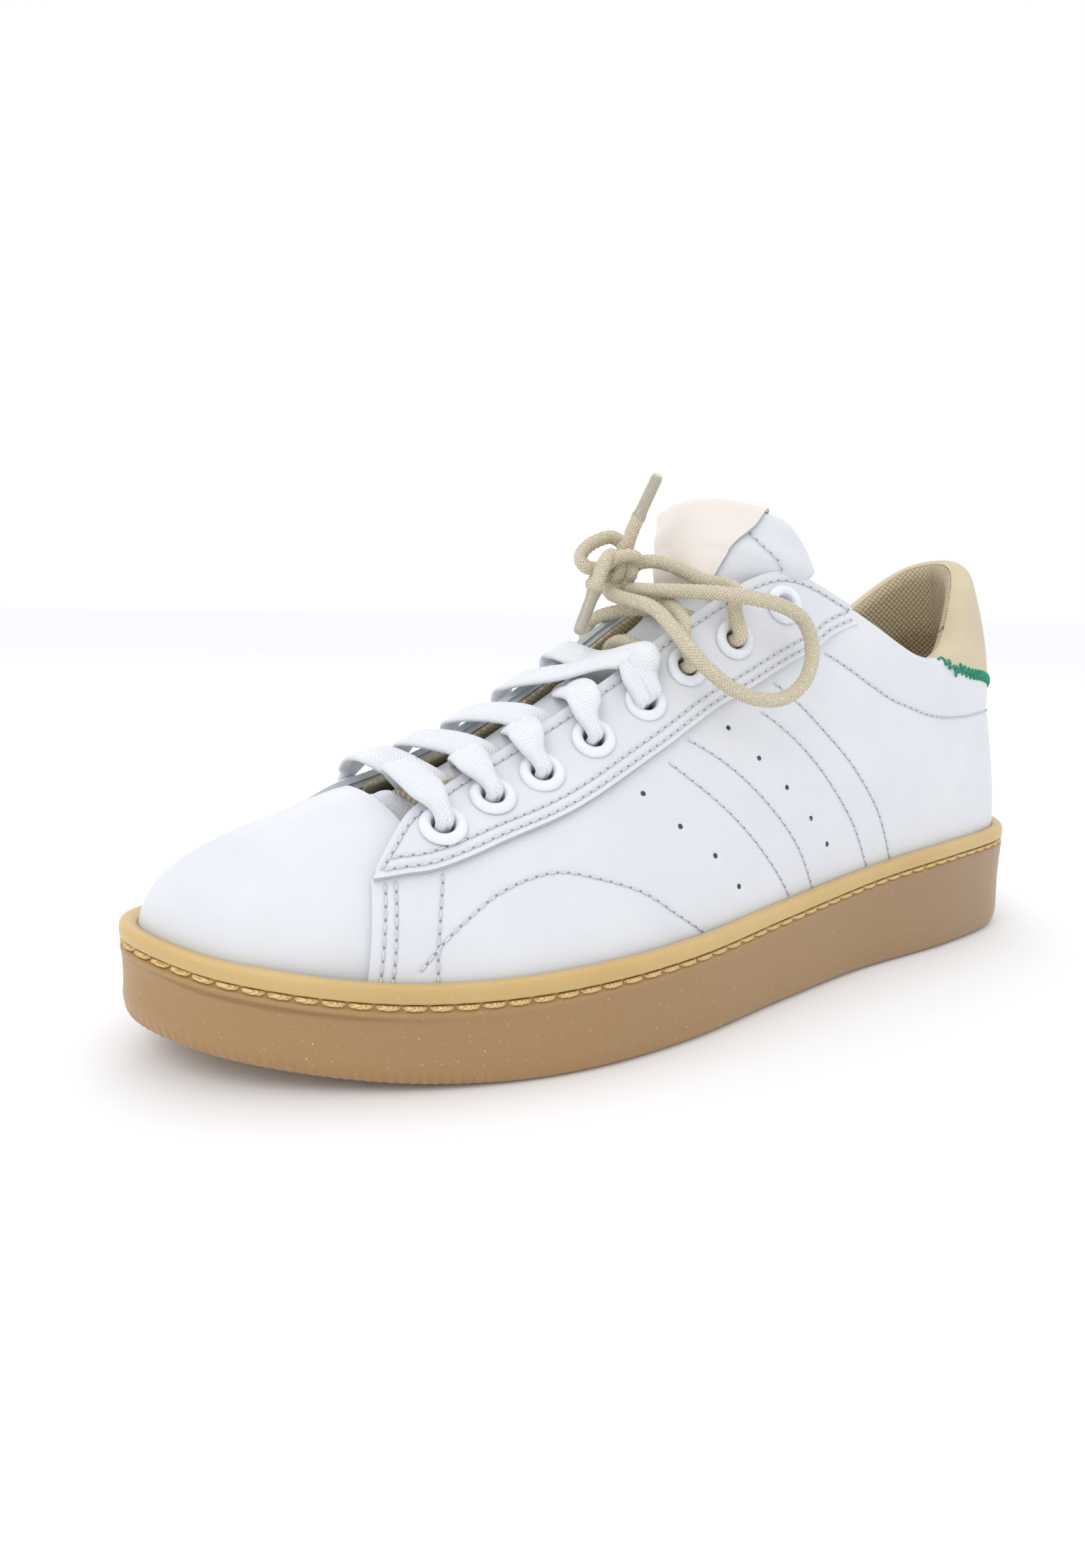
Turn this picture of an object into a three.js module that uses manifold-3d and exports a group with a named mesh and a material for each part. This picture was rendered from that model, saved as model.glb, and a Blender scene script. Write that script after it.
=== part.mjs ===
// Court shoe for the left foot, adult size EU 39, in millimetres.
// +X points to the toe, +Y to the outer side of the foot, +Z up. While it is being drawn, the
// back of the heel is at x = 0 and the ground is at z = 0; the group is centred at the end.
import * as THREE from 'three';
import { mergeVertices } from 'three/addons/utils/BufferGeometryUtils.js';
import Module from 'manifold-3d';

const wasm = await Module();
wasm.setup();

// ---------------------------------------------------------------- driving dimensions

// Plan outline of the sole: the same stations along the length for both sides.
const SOLE_X = [276, 268, 251, 226, 196, 165, 129, 92, 52, 21, 5.5, 0];
const SOLE_OUTER_Y = [-5.5, 13.5, 28.5, 42, 50.5, 51, 45.2, 40.2, 38.9, 33.4, 19, 0];
const SOLE_INNER_Y = [-5.5, -25.3, -39.5, -48.3, -49.5, -44.4, -37.7, -35.4, -36.8, -32, -18.5, 0];
const CENTRE_X = 138;
const CENTRE_Y = 0.8;

const SOLE_TOP = [[0, 32.7], [55, 31.8], [110, 27.6], [184, 23.8], [230, 23.4], [262, 28], [276, 32]];
const TOE_SPRING = { from: 200, rise: 10.2, length: 76 };
const HEEL_LIFT = { from: 24, rise: 1.6 };
const SOLE_FLOOR = 11;          // thickness of rubber under the pocket
const LIP = 3.0;                // wall of the cup at its top
const STITCH_DROP = 4.6;        // stitch groove below the top of the wall
const STITCH_DEPTH = 1.5;
const STITCH_RADIUS = 0.42;

const TUCK = 6;                 // how far the upper goes down into the cup
const RIDGE_SLOPE = -0.3;       // fall of the toe ridge towards the toe tip
const GAP = 0.3;

// Offsets of the layers from the last surface: [inner face, outer face].
const LAYER = {
  vamp: [-1.4, 0],
  toePuff: [-2.4, -1.7],
  vampLining: [-3.4, -2.7],
  quarter: [0.3, 1.5],
  counter: [-1.5, -0.35],
  lining: [-3, -2],
  eyestay: [2.05, 3.2],
};
const COLLAR_PAD = 3.4;         // extra thickness of the padded collar

const EYELET = { hole: 2.6, barrel: 3.1, flange: 5.4, clearance: 3.5, segments: 9 };
const WHITE_LACE_RADIUS = 1.05;
const CORD_RADIUS = 1.7;
const AGLET = { radius: 1.55, length: 11.5 };

const COLOUR = {
  gum: 0xb88f61,
  thread: 0xd9b878,
  white: 0xeff0f4,
  foam: 0xe6e2d6,
  board: 0xcdbf9f,
  beige: 0xcbb98f,
  nude: 0xeadfd6,
  plastic: 0xe6e9f2,
  lace: 0xf2f2f5,
  cord: 0xc4af87,
  clear: 0xd8cdb4,
};

// ---------------------------------------------------------------- curves

// Uniform Catmull-Rom spline through rows of numbers.
function spline(points, t, closed = false) {
  const n = points.length;
  const i = Math.floor(t);
  const f = t - i;
  const at = (k) => (closed ? points[(((i + k) % n) + n) % n]
    : points[Math.min(Math.max(i + k, 0), n - 1)]);
  const [a, b, c, d] = [at(-1), at(0), at(1), at(2)];
  return b.map((_, j) => 0.5 * (2 * b[j] + (c[j] - a[j]) * f
    + (2 * a[j] - 5 * b[j] + 4 * c[j] - d[j]) * f * f
    + (3 * b[j] - a[j] - 3 * c[j] + d[j]) * f * f * f));
}

// Smooth height through [x, z] pairs.
function heightAt(pairs, x) {
  const last = pairs.length - 1;
  if (x <= pairs[0][0]) return pairs[0][1];
  if (x >= pairs[last][0]) return pairs[last][1];
  const i = pairs.findIndex((p) => p[0] > x) - 1;
  const secant = (k) => (pairs[k + 1][1] - pairs[k][1]) / (pairs[k + 1][0] - pairs[k][0]);
  const slope = (k) => (k === 0 ? secant(0) : k === last ? secant(last - 1)
    : (secant(k - 1) + secant(k)) / 2);
  const h = pairs[i + 1][0] - pairs[i][0];
  const f = (x - pairs[i][0]) / h;
  return (2 * f ** 3 - 3 * f ** 2 + 1) * pairs[i][1] + (f ** 3 - 2 * f ** 2 + f) * h * slope(i)
    + (-2 * f ** 3 + 3 * f ** 2) * pairs[i + 1][1] + (f ** 3 - f ** 2) * h * slope(i + 1);
}

const smooth = (a, b, x) => {
  const f = Math.min(Math.max((x - a) / (b - a), 0), 1);
  return f * f * (3 - 2 * f);
};

// ---------------------------------------------------------------- plan of the sole

// The outline runs from the toe tip along the outer side to the heel and back.
const HALF = SOLE_X.length - 1;
const OUTLINE = [
  ...SOLE_X.map((x, i) => [x, SOLE_OUTER_Y[i]]),
  ...SOLE_X.slice(1, -1).map((x, i) => [x, SOLE_INNER_Y[i + 1]]).reverse(),
];

function outline(q, inset = 0) {
  const [x, y] = spline(OUTLINE, q, true);
  const a = spline(OUTLINE, q - 0.01, true);
  const b = spline(OUTLINE, q + 0.01, true);
  const length = Math.hypot(b[0] - a[0], b[1] - a[1]);
  const normal = [-(b[1] - a[1]) / length, (b[0] - a[0]) / length];
  const sign = normal[0] * (x - CENTRE_X) + normal[1] * (y - CENTRE_Y) > 0 ? 1 : -1;
  const nx = normal[0] * sign;
  const ny = normal[1] * sign;
  return { x: x - nx * inset, y: y - ny * inset, nx, ny, station: x };
}

const soleTop = (x) => heightAt(SOLE_TOP, x);

function soleBottom(x) {
  const toe = Math.max(x - TOE_SPRING.from, 0) / TOE_SPRING.length;
  const heel = Math.max(HEEL_LIFT.from - x, 0) / HEEL_LIFT.from;
  return TOE_SPRING.rise * toe ** 2 + HEEL_LIFT.rise * heel ** 2;
}

const soleFloor = (x) => soleBottom(x) + SOLE_FLOOR * (soleTop(x) - soleBottom(x)) / 28;

// ---------------------------------------------------------------- surface of the last

// Each station is one rib of the upper, from the feather line in the cup up to the ridge, the
// throat or the topline: [outline parameter, inset, top x, top y, top z, rise of the wall,
// swell, reach of the top tangent sideways, and up].
const STATIONS = [
  [0, 3.6, 246, 0, 51.0, 15, 0, 16, null],
  [1.1, 3.6, 243, 0, 51.9, 15, 0, 16, null],
  [2.1, 4.6, 236, 0, 54.0, 16, 0, 17, null],
  [3.0, 5.0, 225, 0, 57.3, 18, 0, 19, null],
  [3.8, 5.0, 213, 8.5, 58.2, 19, 0, 15, -3],
  [4.65, 5.0, 192, 12, 64.5, 21, 0, 14, -8],
  [5.47, 5.0, 165, 12.5, 79.0, 24, 0, 13, -12],
  [6.2, 5.0, 140, 13.5, 95.0, 26, 0, 12, -16],
  [6.8, 5.0, 111, 16.5, 108.0, 27, 0, 10, -22],
  [7.35, 5.0, 88, 25.0, 98.5, 24, 0, 5, -20],
  [7.9, 5.0, 64, 29.5, 86.0, 20, 0, 1, -16],
  [8.5, 5.0, 46, 26.5, 87.5, 22, 0, 2, -18],
  [9.2, 5.0, 33, 21.0, 101.5, 26, 1, 4, -24],
  [10.05, 5.0, 21, 12.0, 112.5, 30, 1.6, 8, -30],
  [11, 5.0, 15, 0, 115.5, 30, 2, 10, -32],
];
const RIDGE_END = 3;            // up to this station the rib tops lie on the toe ridge
const HEEL = STATIONS.length - 1;
const ROUND = 2 * HEEL;         // the surface parameter runs once round the shoe

function rib(station, side) {
  const [q, inset, x, y, z, rise, swell, reach, up] = station;
  const foot = outline(side > 0 ? q : 2 * HALF - q, inset);
  const feather = [foot.x, foot.y, soleTop(foot.station) - TUCK];
  const top = [x, y * side, z];
  const away = new THREE.Vector2(foot.x - x, foot.y - y * side).normalize();
  const lift = up === null ? RIDGE_SLOPE * away.x * reach : up;
  return [
    feather,
    [foot.x + foot.nx * swell, foot.y + foot.ny * swell, feather[2] + rise],
    [x + away.x * reach, y * side + away.y * reach, z + lift],
    top,
  ];
}

const RIBS = [
  ...STATIONS.map((s) => rib(s, 1)),
  ...STATIONS.slice(1, -1).map((s) => rib(s, -1)).reverse(),
];
const RAILS = [0, 1, 2, 3].map((k) => RIBS.map((r) => r[k]));

const onRidge = (t) => Math.abs(t) <= RIDGE_END + 1e-9 || Math.abs(ROUND - t) <= RIDGE_END + 1e-9;

function last(t, w) {
  const [a, b, c, d] = RAILS.map((rail) => spline(rail, t, true));
  if (onRidge(t)) d[1] = 0;
  const p = a.map((_, j) => (1 - w) ** 3 * a[j] + 3 * w * (1 - w) ** 2 * b[j]
    + 3 * w * w * (1 - w) * c[j] + w ** 3 * d[j]);
  return new THREE.Vector3(...p);
}

function lastNormal(t, w) {
  if (w > 1 - 1e-6 && onRidge(t)) return new THREE.Vector3(-RIDGE_SLOPE, 0, 1).normalize();
  const e = 1e-3;
  const v = Math.min(Math.max(w, e), 1 - e);
  const along = last(t + e, v).sub(last(t - e, v));
  const across = last(t, v + e).sub(last(t, v - e));
  return along.cross(across).normalize();
}

const off = (t, w, distance) => last(t, w).addScaledVector(lastNormal(t, w), distance);

// Side +1 is the outer side, -1 the inner side; t counts from the toe on either side.
const onSide = (side, t, w, distance) => off(side > 0 ? t : ROUND - t, w, distance);

// ---------------------------------------------------------------- solids

// Closed geometry from triangles given as point triples; points that agree become one.
function solid(triangles) {
  const flat = triangles.flat().flatMap((p) => [p.x, p.y, p.z]);
  const geometry = new THREE.BufferGeometry();
  geometry.setAttribute('position', new THREE.Float32BufferAttribute(flat, 3));
  return tidy(geometry);
}

function volume(geometry) {
  const p = geometry.attributes.position;
  const [a, b, c] = [new THREE.Vector3(), new THREE.Vector3(), new THREE.Vector3()];
  let sum = 0;
  for (let i = 0; i < geometry.index.count; i += 3) {
    a.fromBufferAttribute(p, geometry.index.getX(i));
    b.fromBufferAttribute(p, geometry.index.getX(i + 1));
    c.fromBufferAttribute(p, geometry.index.getX(i + 2));
    sum += a.dot(b.cross(c)) / 6;
  }
  return sum;
}

function tidy(source) {
  const plain = new THREE.BufferGeometry();
  plain.setAttribute('position', source.attributes.position.clone());
  if (source.index) plain.setIndex(source.index);
  const merged = mergeVertices(plain, 2e-3);
  const index = [];
  for (let i = 0; i < merged.index.count; i += 3) {
    const tri = [0, 1, 2].map((k) => merged.index.getX(i + k));
    if (new Set(tri).size === 3) index.push(...tri);
  }
  merged.setIndex(index);
  if (volume(merged) < 0) merged.setIndex(index.reverse());
  merged.computeVertexNormals();
  return merged;
}

const quad = (a, b, c, d) => [[a, b, c], [a, c, d]];

function sheetFaces(rows, flip = false) {
  const faces = [];
  for (let i = 0; i + 1 < rows.length; i += 1) {
    for (let j = 0; j + 1 < rows[i].length; j += 1) {
      const corner = [rows[i][j], rows[i + 1][j], rows[i + 1][j + 1], rows[i][j + 1]];
      faces.push(...quad(...(flip ? corner.reverse() : corner)));
    }
  }
  return faces;
}

// A plate between two matching grids of points. With fold set, the last column of each
// grid already meets itself and needs no edge wall.
function plate(outer, inner, fold = false) {
  const faces = [...sheetFaces(outer), ...sheetFaces(inner, true)];
  const wall = (a, b) => {
    for (let i = 0; i + 1 < a.length; i += 1) faces.push(...quad(a[i], b[i], b[i + 1], a[i + 1]));
  };
  const column = (grid, j) => grid.map((row) => row[j]);
  const end = outer.length - 1;
  const side = outer[0].length - 1;
  wall(inner[0], outer[0]);
  wall(outer[end], inner[end]);
  wall(column(outer, 0), column(inner, 0));
  if (!fold) wall(column(inner, side), column(outer, side));
  return solid(faces);
}

// Grid of surface parameters between paired points of a lower and an upper edge.
function ruled(struts, columns, rows) {
  const flat = struts.map(([low, high]) => [...low, ...high]);
  return Array.from({ length: columns + 1 }, (_, i) => {
    const [t0, w0, t1, w1] = spline(flat, (i / columns) * (struts.length - 1));
    return Array.from({ length: rows + 1 }, (_, j) => {
      const f = j / rows;
      return [t0 + (t1 - t0) * f, w0 + (w1 - w0) * f];
    });
  });
}

const mirrored = (struts) => struts.map((s) => s.map(([t, w]) => [ROUND - t, w]));

function panel(grid, [low, high], fold = false) {
  const at = (bound) => grid.map((row) => row.map(([t, w]) => off(t, w,
    typeof bound === 'function' ? bound(t, w) : bound)));
  return plate(at(high), at(low), fold);
}

// ---------------------------------------------------------------- cup sole and its filling

const RING_STEPS = 48;
const ringAt = (inset, height) => Array.from({ length: RING_STEPS }, (_, k) => {
  const p = outline((k / RING_STEPS) * 2 * HALF, inset);
  return new THREE.Vector3(p.x, p.y, height(p.x));
});

// Rows from a ring in to the long centre line, so that a floor can follow the toe spring.
function floorRows(inset, height) {
  const middle = SOLE_X.map((x, i) => [x, (SOLE_OUTER_Y[i] + SOLE_INNER_Y[i]) / 2]).reverse();
  const spine = (x) => {
    const cx = Math.min(Math.max(x, 40), 236);
    return [cx, heightAt(middle, cx)];
  };
  return [0, 0.4, 1].map((f) => Array.from({ length: RING_STEPS }, (_, k) => {
    const p = outline((k / RING_STEPS) * 2 * HALF, inset);
    const [cx, cy] = spine(p.station);
    const x = p.x + (cx - p.x) * f;
    return new THREE.Vector3(x, p.y + (cy - p.y) * f, height(f === 1 ? cx : x));
  }));
}

const closed = (ring) => [...ring, ring[0]];

function ringSolid(rings) {
  return solid(sheetFaces(rings.map(closed)));
}

function outsole() {
  const wallMiddle = (x) => soleBottom(x) * 0.5 + soleTop(x) * 0.5;
  const below = (drop) => (x) => soleTop(x) - drop;
  const bottom = floorRows(3.2, soleBottom).reverse();
  const wall = [
    [1.0, (x) => soleBottom(x) + 1.4],
    [0.1, (x) => soleBottom(x) + 4.5],
    [0, wallMiddle],
    [0.05, below(STITCH_DROP + 1.1)],
    [STITCH_DEPTH, below(STITCH_DROP)],
    [0.1, below(STITCH_DROP - 1.1)],
    [0.2, below(1.0)],
    [1.0, below(0)],
    [LIP - 0.5, below(0)],
    [LIP, below(0.7)],
    [LIP + 0.2, below(10)],
  ].map(([inset, height]) => ringAt(inset, height));
  const floor = floorRows(LIP + 0.4, soleFloor);
  return ringSolid([...bottom, ...wall, ...floor]);
}

function sidewallStitch() {
  const sides = 6;
  const rows = Array.from({ length: sides }, (_, j) => {
    const angle = (j / sides) * 2 * Math.PI;
    const inset = 0.42 + STITCH_RADIUS * Math.cos(angle);
    return ringAt(inset, (x) => soleTop(x) - STITCH_DROP + STITCH_RADIUS * Math.sin(angle));
  });
  return ringSolid([...rows, rows[0]]);
}

function slabUnderfoot(inset, low, high) {
  return ringSolid([...floorRows(inset, low).reverse(), ...floorRows(inset, high)]);
}

// ---------------------------------------------------------------- panels of the upper

const VAMP_BACK = [[3.3, 0], [3.22, 0.4], [3.2, 0.75], [3.0, 1]];

// The vamp wraps round the toe and its two halves meet on the ridge.
function vampGrid(backShift, columns, rows, wLow) {
  const back = (w) => spline(VAMP_BACK, w * (VAMP_BACK.length - 1))[0];
  return Array.from({ length: columns + 1 }, (_, i) => Array.from({ length: rows + 1 }, (_, j) => {
    const w = wLow + (1 - wLow) * (j / rows);
    const reach = w === 1 ? RIDGE_END : back(w) - backShift;
    return [((2 * i) / columns - 1) * reach, w];
  }));
}

const QUARTER = [
  [[2.45, 0], [2.62, 0.46]], [[2.8, 0], [2.93, 0.58]], [[3.3, 0], [3.4, 0.71]],
  [[4.2, 0], [4.33, 0.9]], [[5, 0], [5, 0.985]], [[6.35, 0], [6.35, 0.985]],
  [[7.4, 0], [7.4, 0.985]], [[8.2, 0], [8.2, 0.985]], [[9.2, 0], [9.2, 0.985]],
  [[10.2, 0], [10.2, 0.985]], [[10.8, 0], [10.75, 0.93]], [[11.3, 0], [11.3, 0.79]],
  [[12, 0], [12, 0.65]], [[12.8, 0], [12.8, 0.55]], [[13.97, 0], [13.97, 0.5]],
];

const EYESTAY = [
  [[2.64, 0.455], [2.7, 0.5]], [[2.95, 0.46], [2.95, 0.6]], [[3.32, 0.475], [3.4, 0.73]],
  [[4.1, 0.56], [4.33, 0.91]], [[4.72, 0.605], [5, 0.99]], [[5.6, 0.645], [5.7, 1]],
  [[6.6, 0.675], [6.6, 1]], [[7.44, 0.69], [7.44, 1]], [[8.07, 0.73], [8.07, 1]],
  [[8.5, 0.82], [8.45, 1]], [[8.92, 0.93], [8.85, 1]],
];

const HEEL_TAB_HALF = [
  [[10.7, 0.965], [10.6, 1]], [[11, 0.895], [10.95, 1]], [[11.5, 0.77], [11.5, 1]],
  [[12, 0.68], [12, 1]], [[12.8, 0.58], [12.8, 1]], [[14, 0.53], [14, 1]],
];

const band = (t0, t1, w0, w1) => [[[t0, w0], [t0, w1]], [[t1, w0], [t1, w1]]];
const fromToe = (t) => (t > HEEL ? ROUND - t : t);
const collarDepth = (t, w) => COLLAR_PAD * smooth(0.62, 0.8, w) * smooth(8.3, 9.3, fromToe(t));
const padded = ([low, high]) => [
  (t, w) => low - collarDepth(t, w),
  (t, w) => high - collarDepth(t, w),
];

// Eyelet centres on the outer side, bottom row first: [t, w].
const EYELETS = [
  [3.6, 0.64], [4.41, 0.76], [5.03, 0.8], [5.6, 0.82], [6.2, 0.83], [6.74, 0.845], [7.29, 0.84],
  [7.91, 0.88],
];

function frameAt(side, [t, w], distance) {
  const centre = onSide(side, t, w, distance);
  const turn = new THREE.Quaternion();
  const normal = lastNormal(side > 0 ? t : ROUND - t, w);
  turn.setFromUnitVectors(new THREE.Vector3(0, 0, 1), normal);
  return { centre, turn };
}

const toManifold = (geometry) => new wasm.Manifold(new wasm.Mesh({
  numProp: 3,
  vertProperties: new Float32Array(geometry.attributes.position.array),
  triVerts: new Uint32Array(geometry.index.array),
}));

function fromManifold(shape) {
  const mesh = shape.getMesh();
  const geometry = new THREE.BufferGeometry();
  geometry.setAttribute('position', new THREE.BufferAttribute(
    new Float32Array(mesh.vertProperties), 3));
  geometry.setIndex([...mesh.triVerts]);
  return tidy(geometry);
}

// Punch the eight lace holes of one side through a panel.
function punched(geometry, side) {
  let shape = toManifold(geometry);
  for (const place of EYELETS) {
    const drill = new THREE.CylinderGeometry(EYELET.clearance, EYELET.clearance, 14, EYELET.segments);
    drill.rotateX(Math.PI / 2);
    const { centre, turn } = frameAt(side, place, 0);
    drill.applyQuaternion(turn);
    drill.translate(centre.x, centre.y, centre.z);
    shape = shape.subtract(toManifold(tidy(drill)));
  }
  return fromManifold(shape);
}

function eyelet() {
  const { hole, barrel, flange } = EYELET;
  const profile = [
    [hole, -0.7], [barrel, -0.7], [barrel, 3.45], [flange, 3.45], [flange - 0.3, 4.2],
    [barrel + 0.4, 4.7], [hole, 4.1], [hole, -0.7],
  ].map(([r, z]) => new THREE.Vector2(r, z));
  const ring = new THREE.LatheGeometry(profile, EYELET.segments);
  ring.rotateX(Math.PI / 2);
  return tidy(ring);
}

// ---------------------------------------------------------------- tongue

// Rows up the tongue: centre [x, z], edge [x, y, z], then the shift towards the inner side and
// the twist that brings the inner side of the free top forward.
const TONGUE = [
  [231, 50.4, 229, 13, 43.5, 0, 0],
  [215, 53.2, 211, 16, 40.5, 0, 0],
  [192, 62.2, 187, 17, 45.5, 0, 0],
  [168, 75.4, 162, 16.5, 57.5, 0, 0],
  [146, 88.6, 138, 16.5, 69.5, 0, 0],
  [131, 100, 120, 16.5, 81, 0, 0],
  [129.5, 108.5, 108.5, 14.4, 94.5, 0, 0],
  [127.5, 116, 105, 14.2, 108, 0, 0.5],
  [124.5, 122.5, 106, 19.6, 116.5, 1.3, 3],
  [121, 128.3, 111, 27, 122, 4, 5],
];
const TONGUE_TOP = TONGUE.length - 1;

function tongueAt(u, v) {
  const [cx, cz, ex, ey, ez, shift, twist] = spline(TONGUE, u);
  return new THREE.Vector3(cx + (ex - cx) * v * v - twist * v, ey * v - shift,
    cz + (ez - cz) * v * v);
}

function tongueOff(u, v, distance) {
  const e = 1e-3;
  const up = tongueAt(u + e, v).sub(tongueAt(u - e, v));
  const across = tongueAt(u, v + e).sub(tongueAt(u, v - e));
  return tongueAt(u, v).addScaledVector(across.cross(up).normalize(), distance);
}

function tonguePlate(u0, u1, span, low, high, columns = 18, rows = 8) {
  const grid = (bound) => Array.from({ length: columns + 1 }, (_, i) => (
    Array.from({ length: rows + 1 }, (_, j) => {
      const u = u0 + ((u1 - u0) * i) / columns;
      const v = span * ((2 * j) / rows - 1);
      return tongueOff(u, v, typeof bound === 'function' ? bound(u, v) : bound);
    })));
  return plate(grid(high), grid(low));
}

const tonguePad = (u, v) => (0.9 + 3.3 * smooth(1.5, 5, u)) * (1 - 0.55 * v * v);

// ---------------------------------------------------------------- laces

class Route extends THREE.CatmullRomCurve3 {
  constructor(points) {
    super(points, false, 'centripetal');
  }
}

function tube(points, radius, steps, sides = 8) {
  const route = new Route(points.map((p) => (p.isVector3 ? p : new THREE.Vector3(...p))));
  const section = new THREE.Shape();
  for (let k = 0; k < sides; k += 1) {
    const a = (k / sides) * 2 * Math.PI;
    const move = k ? 'lineTo' : 'moveTo';
    section[move](radius * Math.cos(a), radius * Math.sin(a));
  }
  return tidy(new THREE.ExtrudeGeometry(section, { steps, extrudePath: route, curveSegments: 1 }));
}

const ridgeHeight = (x) => heightAt(TONGUE.slice(0, 6).map(([cx, cz]) => [cx, cz]).reverse(), x);

// Where the laces leave a hole and how high they ride over the edge of the facing.
const laceTop = (side, k, radius, shift = 0) => [
  onSide(side, EYELETS[k][0] + shift, EYELETS[k][1], 4.6 + radius),
  onSide(side, EYELETS[k][0] + shift + 0.05, EYELETS[k][1] + 0.08, 5.2 + radius),
  onSide(side, EYELETS[k][0] + shift + 0.15, 0.985, 5.1 + radius),
];

// From the throat edge, under the facing and up through hole k.
const laceUnder = (side, k, radius) => {
  const [t, w] = EYELETS[k];
  return [
    onSide(side, t - 0.06, 0.985, -3.5 - radius),
    onSide(side, t, w + 0.06, -3.6 - radius),
    onSide(side, t, w, -1.8 - radius),
    onSide(side, t, w, 1.5),
  ];
};

const SHARED_HOLE_SHIFT = 0.04;
const overTongue = (x, height) => new THREE.Vector3(x, 0, ridgeHeight(x) + height);
const rowX = (k) => onSide(1, ...EYELETS[k], 0).x;

// A strand that leaves hole k on one side and comes up through hole k + 1 on the other.
function crossing(side, k, layer, radius) {
  const middle = (rowX(k) + rowX(k + 1)) / 2 + 2;
  return [
    ...laceTop(side, k, radius),
    overTongue(middle, 1.2 + radius + layer),
    ...laceUnder(-side, k + 1, radius),
  ];
}

// A strand that leaves hole k on one side and dives from above into hole m on the other.
function dive(side, k, m, layer, radius, shift) {
  const [t, w] = EYELETS[m];
  return [
    ...laceTop(side, k, radius),
    overTongue((rowX(k) + rowX(m)) / 2 + 2, 2.6 + radius + layer),
    ...laceTop(-side, m, radius, 1.6 * shift).reverse(),
    onSide(-side, t + shift, w, 4),
    onSide(-side, t + shift, w, 1.5),
    onSide(-side, t + shift, w, -1.6),
  ];
}

// Straight bar under both throat edges, coming up through hole k on each side.
function bar(k, radius) {
  return [
    ...laceUnder(1, k, radius).reverse(),
    overTongue(rowX(k) + 5, 1.4 + radius),
    ...laceUnder(-1, k, radius),
  ];
}

// Five rows of white lace. The outer strand is one layer higher where two strands cross, and
// both ends go down side by side into the fifth hole of the outer side.
function whiteLace() {
  const r = WHITE_LACE_RADIUS;
  const upper = 2 * r + 0.5;
  const fromOuter = [crossing(1, 0, 0, r), crossing(-1, 1, upper, r), crossing(1, 2, 0, r),
    dive(-1, 3, 4, upper, r, -SHARED_HOLE_SHIFT)].flat();
  const fromInner = [crossing(-1, 0, upper, r), crossing(1, 1, 0, r), crossing(-1, 2, upper, r),
    crossing(1, 3, 0, r), dive(-1, 4, 4, 1, r, SHARED_HOLE_SHIFT)].flat();
  return [...fromOuter.reverse(), ...bar(0, r), ...fromInner];
}

// Two rows of beige cord, then up out of the seventh holes to the two sides of the knot.
const TO_KNOT_OUTER = [[130.6, 10, 106.4], [133.2, 3.4, 109.4], [137.2, -1.2, 111.2]];
const TO_KNOT_INNER = [[141, -18.6, 104.4], [146.4, -16.6, 104.6], [149.2, -14, 105.4]];

function heldCord() {
  const r = CORD_RADIUS;
  const points = (list) => list.map((p) => new THREE.Vector3(...p));
  const middle = (rowX(5) + rowX(6)) / 2 + 2;
  return [
    ...points(TO_KNOT_OUTER).reverse(), ...laceTop(1, 6, r).reverse(),
    ...laceUnder(1, 6, r).reverse(),
    overTongue(middle, 2.4 + r), ...laceTop(-1, 5, r).reverse(),
    ...bar(5, r).reverse(),
    ...laceTop(1, 5, r), overTongue(middle, 6.1 + r),
    ...laceUnder(-1, 6, r), ...laceTop(-1, 6, r), ...points(TO_KNOT_INNER),
  ];
}

// The bow: a knot, a large loop over the outer side, a small loop, and two tails.
const KNOT = { centre: [142.3, -8, 109.1], axis: [-0.836, 0.549, 0], half: [5.4, 3.7, 3.6] };
const LARGE_LOOP = [
  [147.4, -8.6, 104.1], [148.6, -5.5, 102.6], [149.2, -1, 101.6], [149.2, 5, 100.6], [149.4, 11, 99.6],
  [149.6, 16, 97.8], [150.5, 20.4, 95.6], [150.7, 24.6, 92.8], [149.8, 28.4, 89.2],
  [147, 31.8, 84.6], [141, 34.6, 79.8], [132.6, 36.2, 77], [125, 36.8, 77.4], [118.6, 36.6, 81],
  [114.6, 35.2, 87], [114, 33.6, 92.4], [116.4, 32.6, 96.8], [122.5, 31.6, 99.8],
  [130.6, 29.6, 101.6], [137.6, 24.4, 102.8], [142.4, 16, 103.2], [144.6, 6, 103.4],
  [143.6, -2.4, 103.6], [142.6, -6.6, 103.1],
];
const SMALL_LOOP = [
  [139.6, -11.8, 114.4], [139.6, -13.8, 116.8], [141.8, -15.2, 118], [145.6, -16, 117],
  [149.5, -16.2, 114.8], [151.9, -15.4, 112], [151.4, -13.8, 109.8], [149.6, -12.7, 109.2],
];
const UPPER_TAIL = [
  [142.1, -7.4, 114.9], [141.7, -6.7, 117.8], [140.9, -5.9, 120.8], [139.9, -5.3, 123.4],
];
const LOWER_TAIL = [
  [148.4, -6, 112.6], [151.4, -4.4, 111.2], [153.6, -3.4, 108], [155.4, -2.6, 105],
  [157, -2.1, 102.2],
];

function knot() {
  const lump = new THREE.SphereGeometry(1, 12, 8);
  lump.scale(...KNOT.half);
  const turn = new THREE.Quaternion();
  turn.setFromUnitVectors(new THREE.Vector3(1, 0, 0), new THREE.Vector3(...KNOT.axis));
  lump.applyQuaternion(turn);
  lump.translate(...KNOT.centre);
  return tidy(lump);
}

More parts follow.
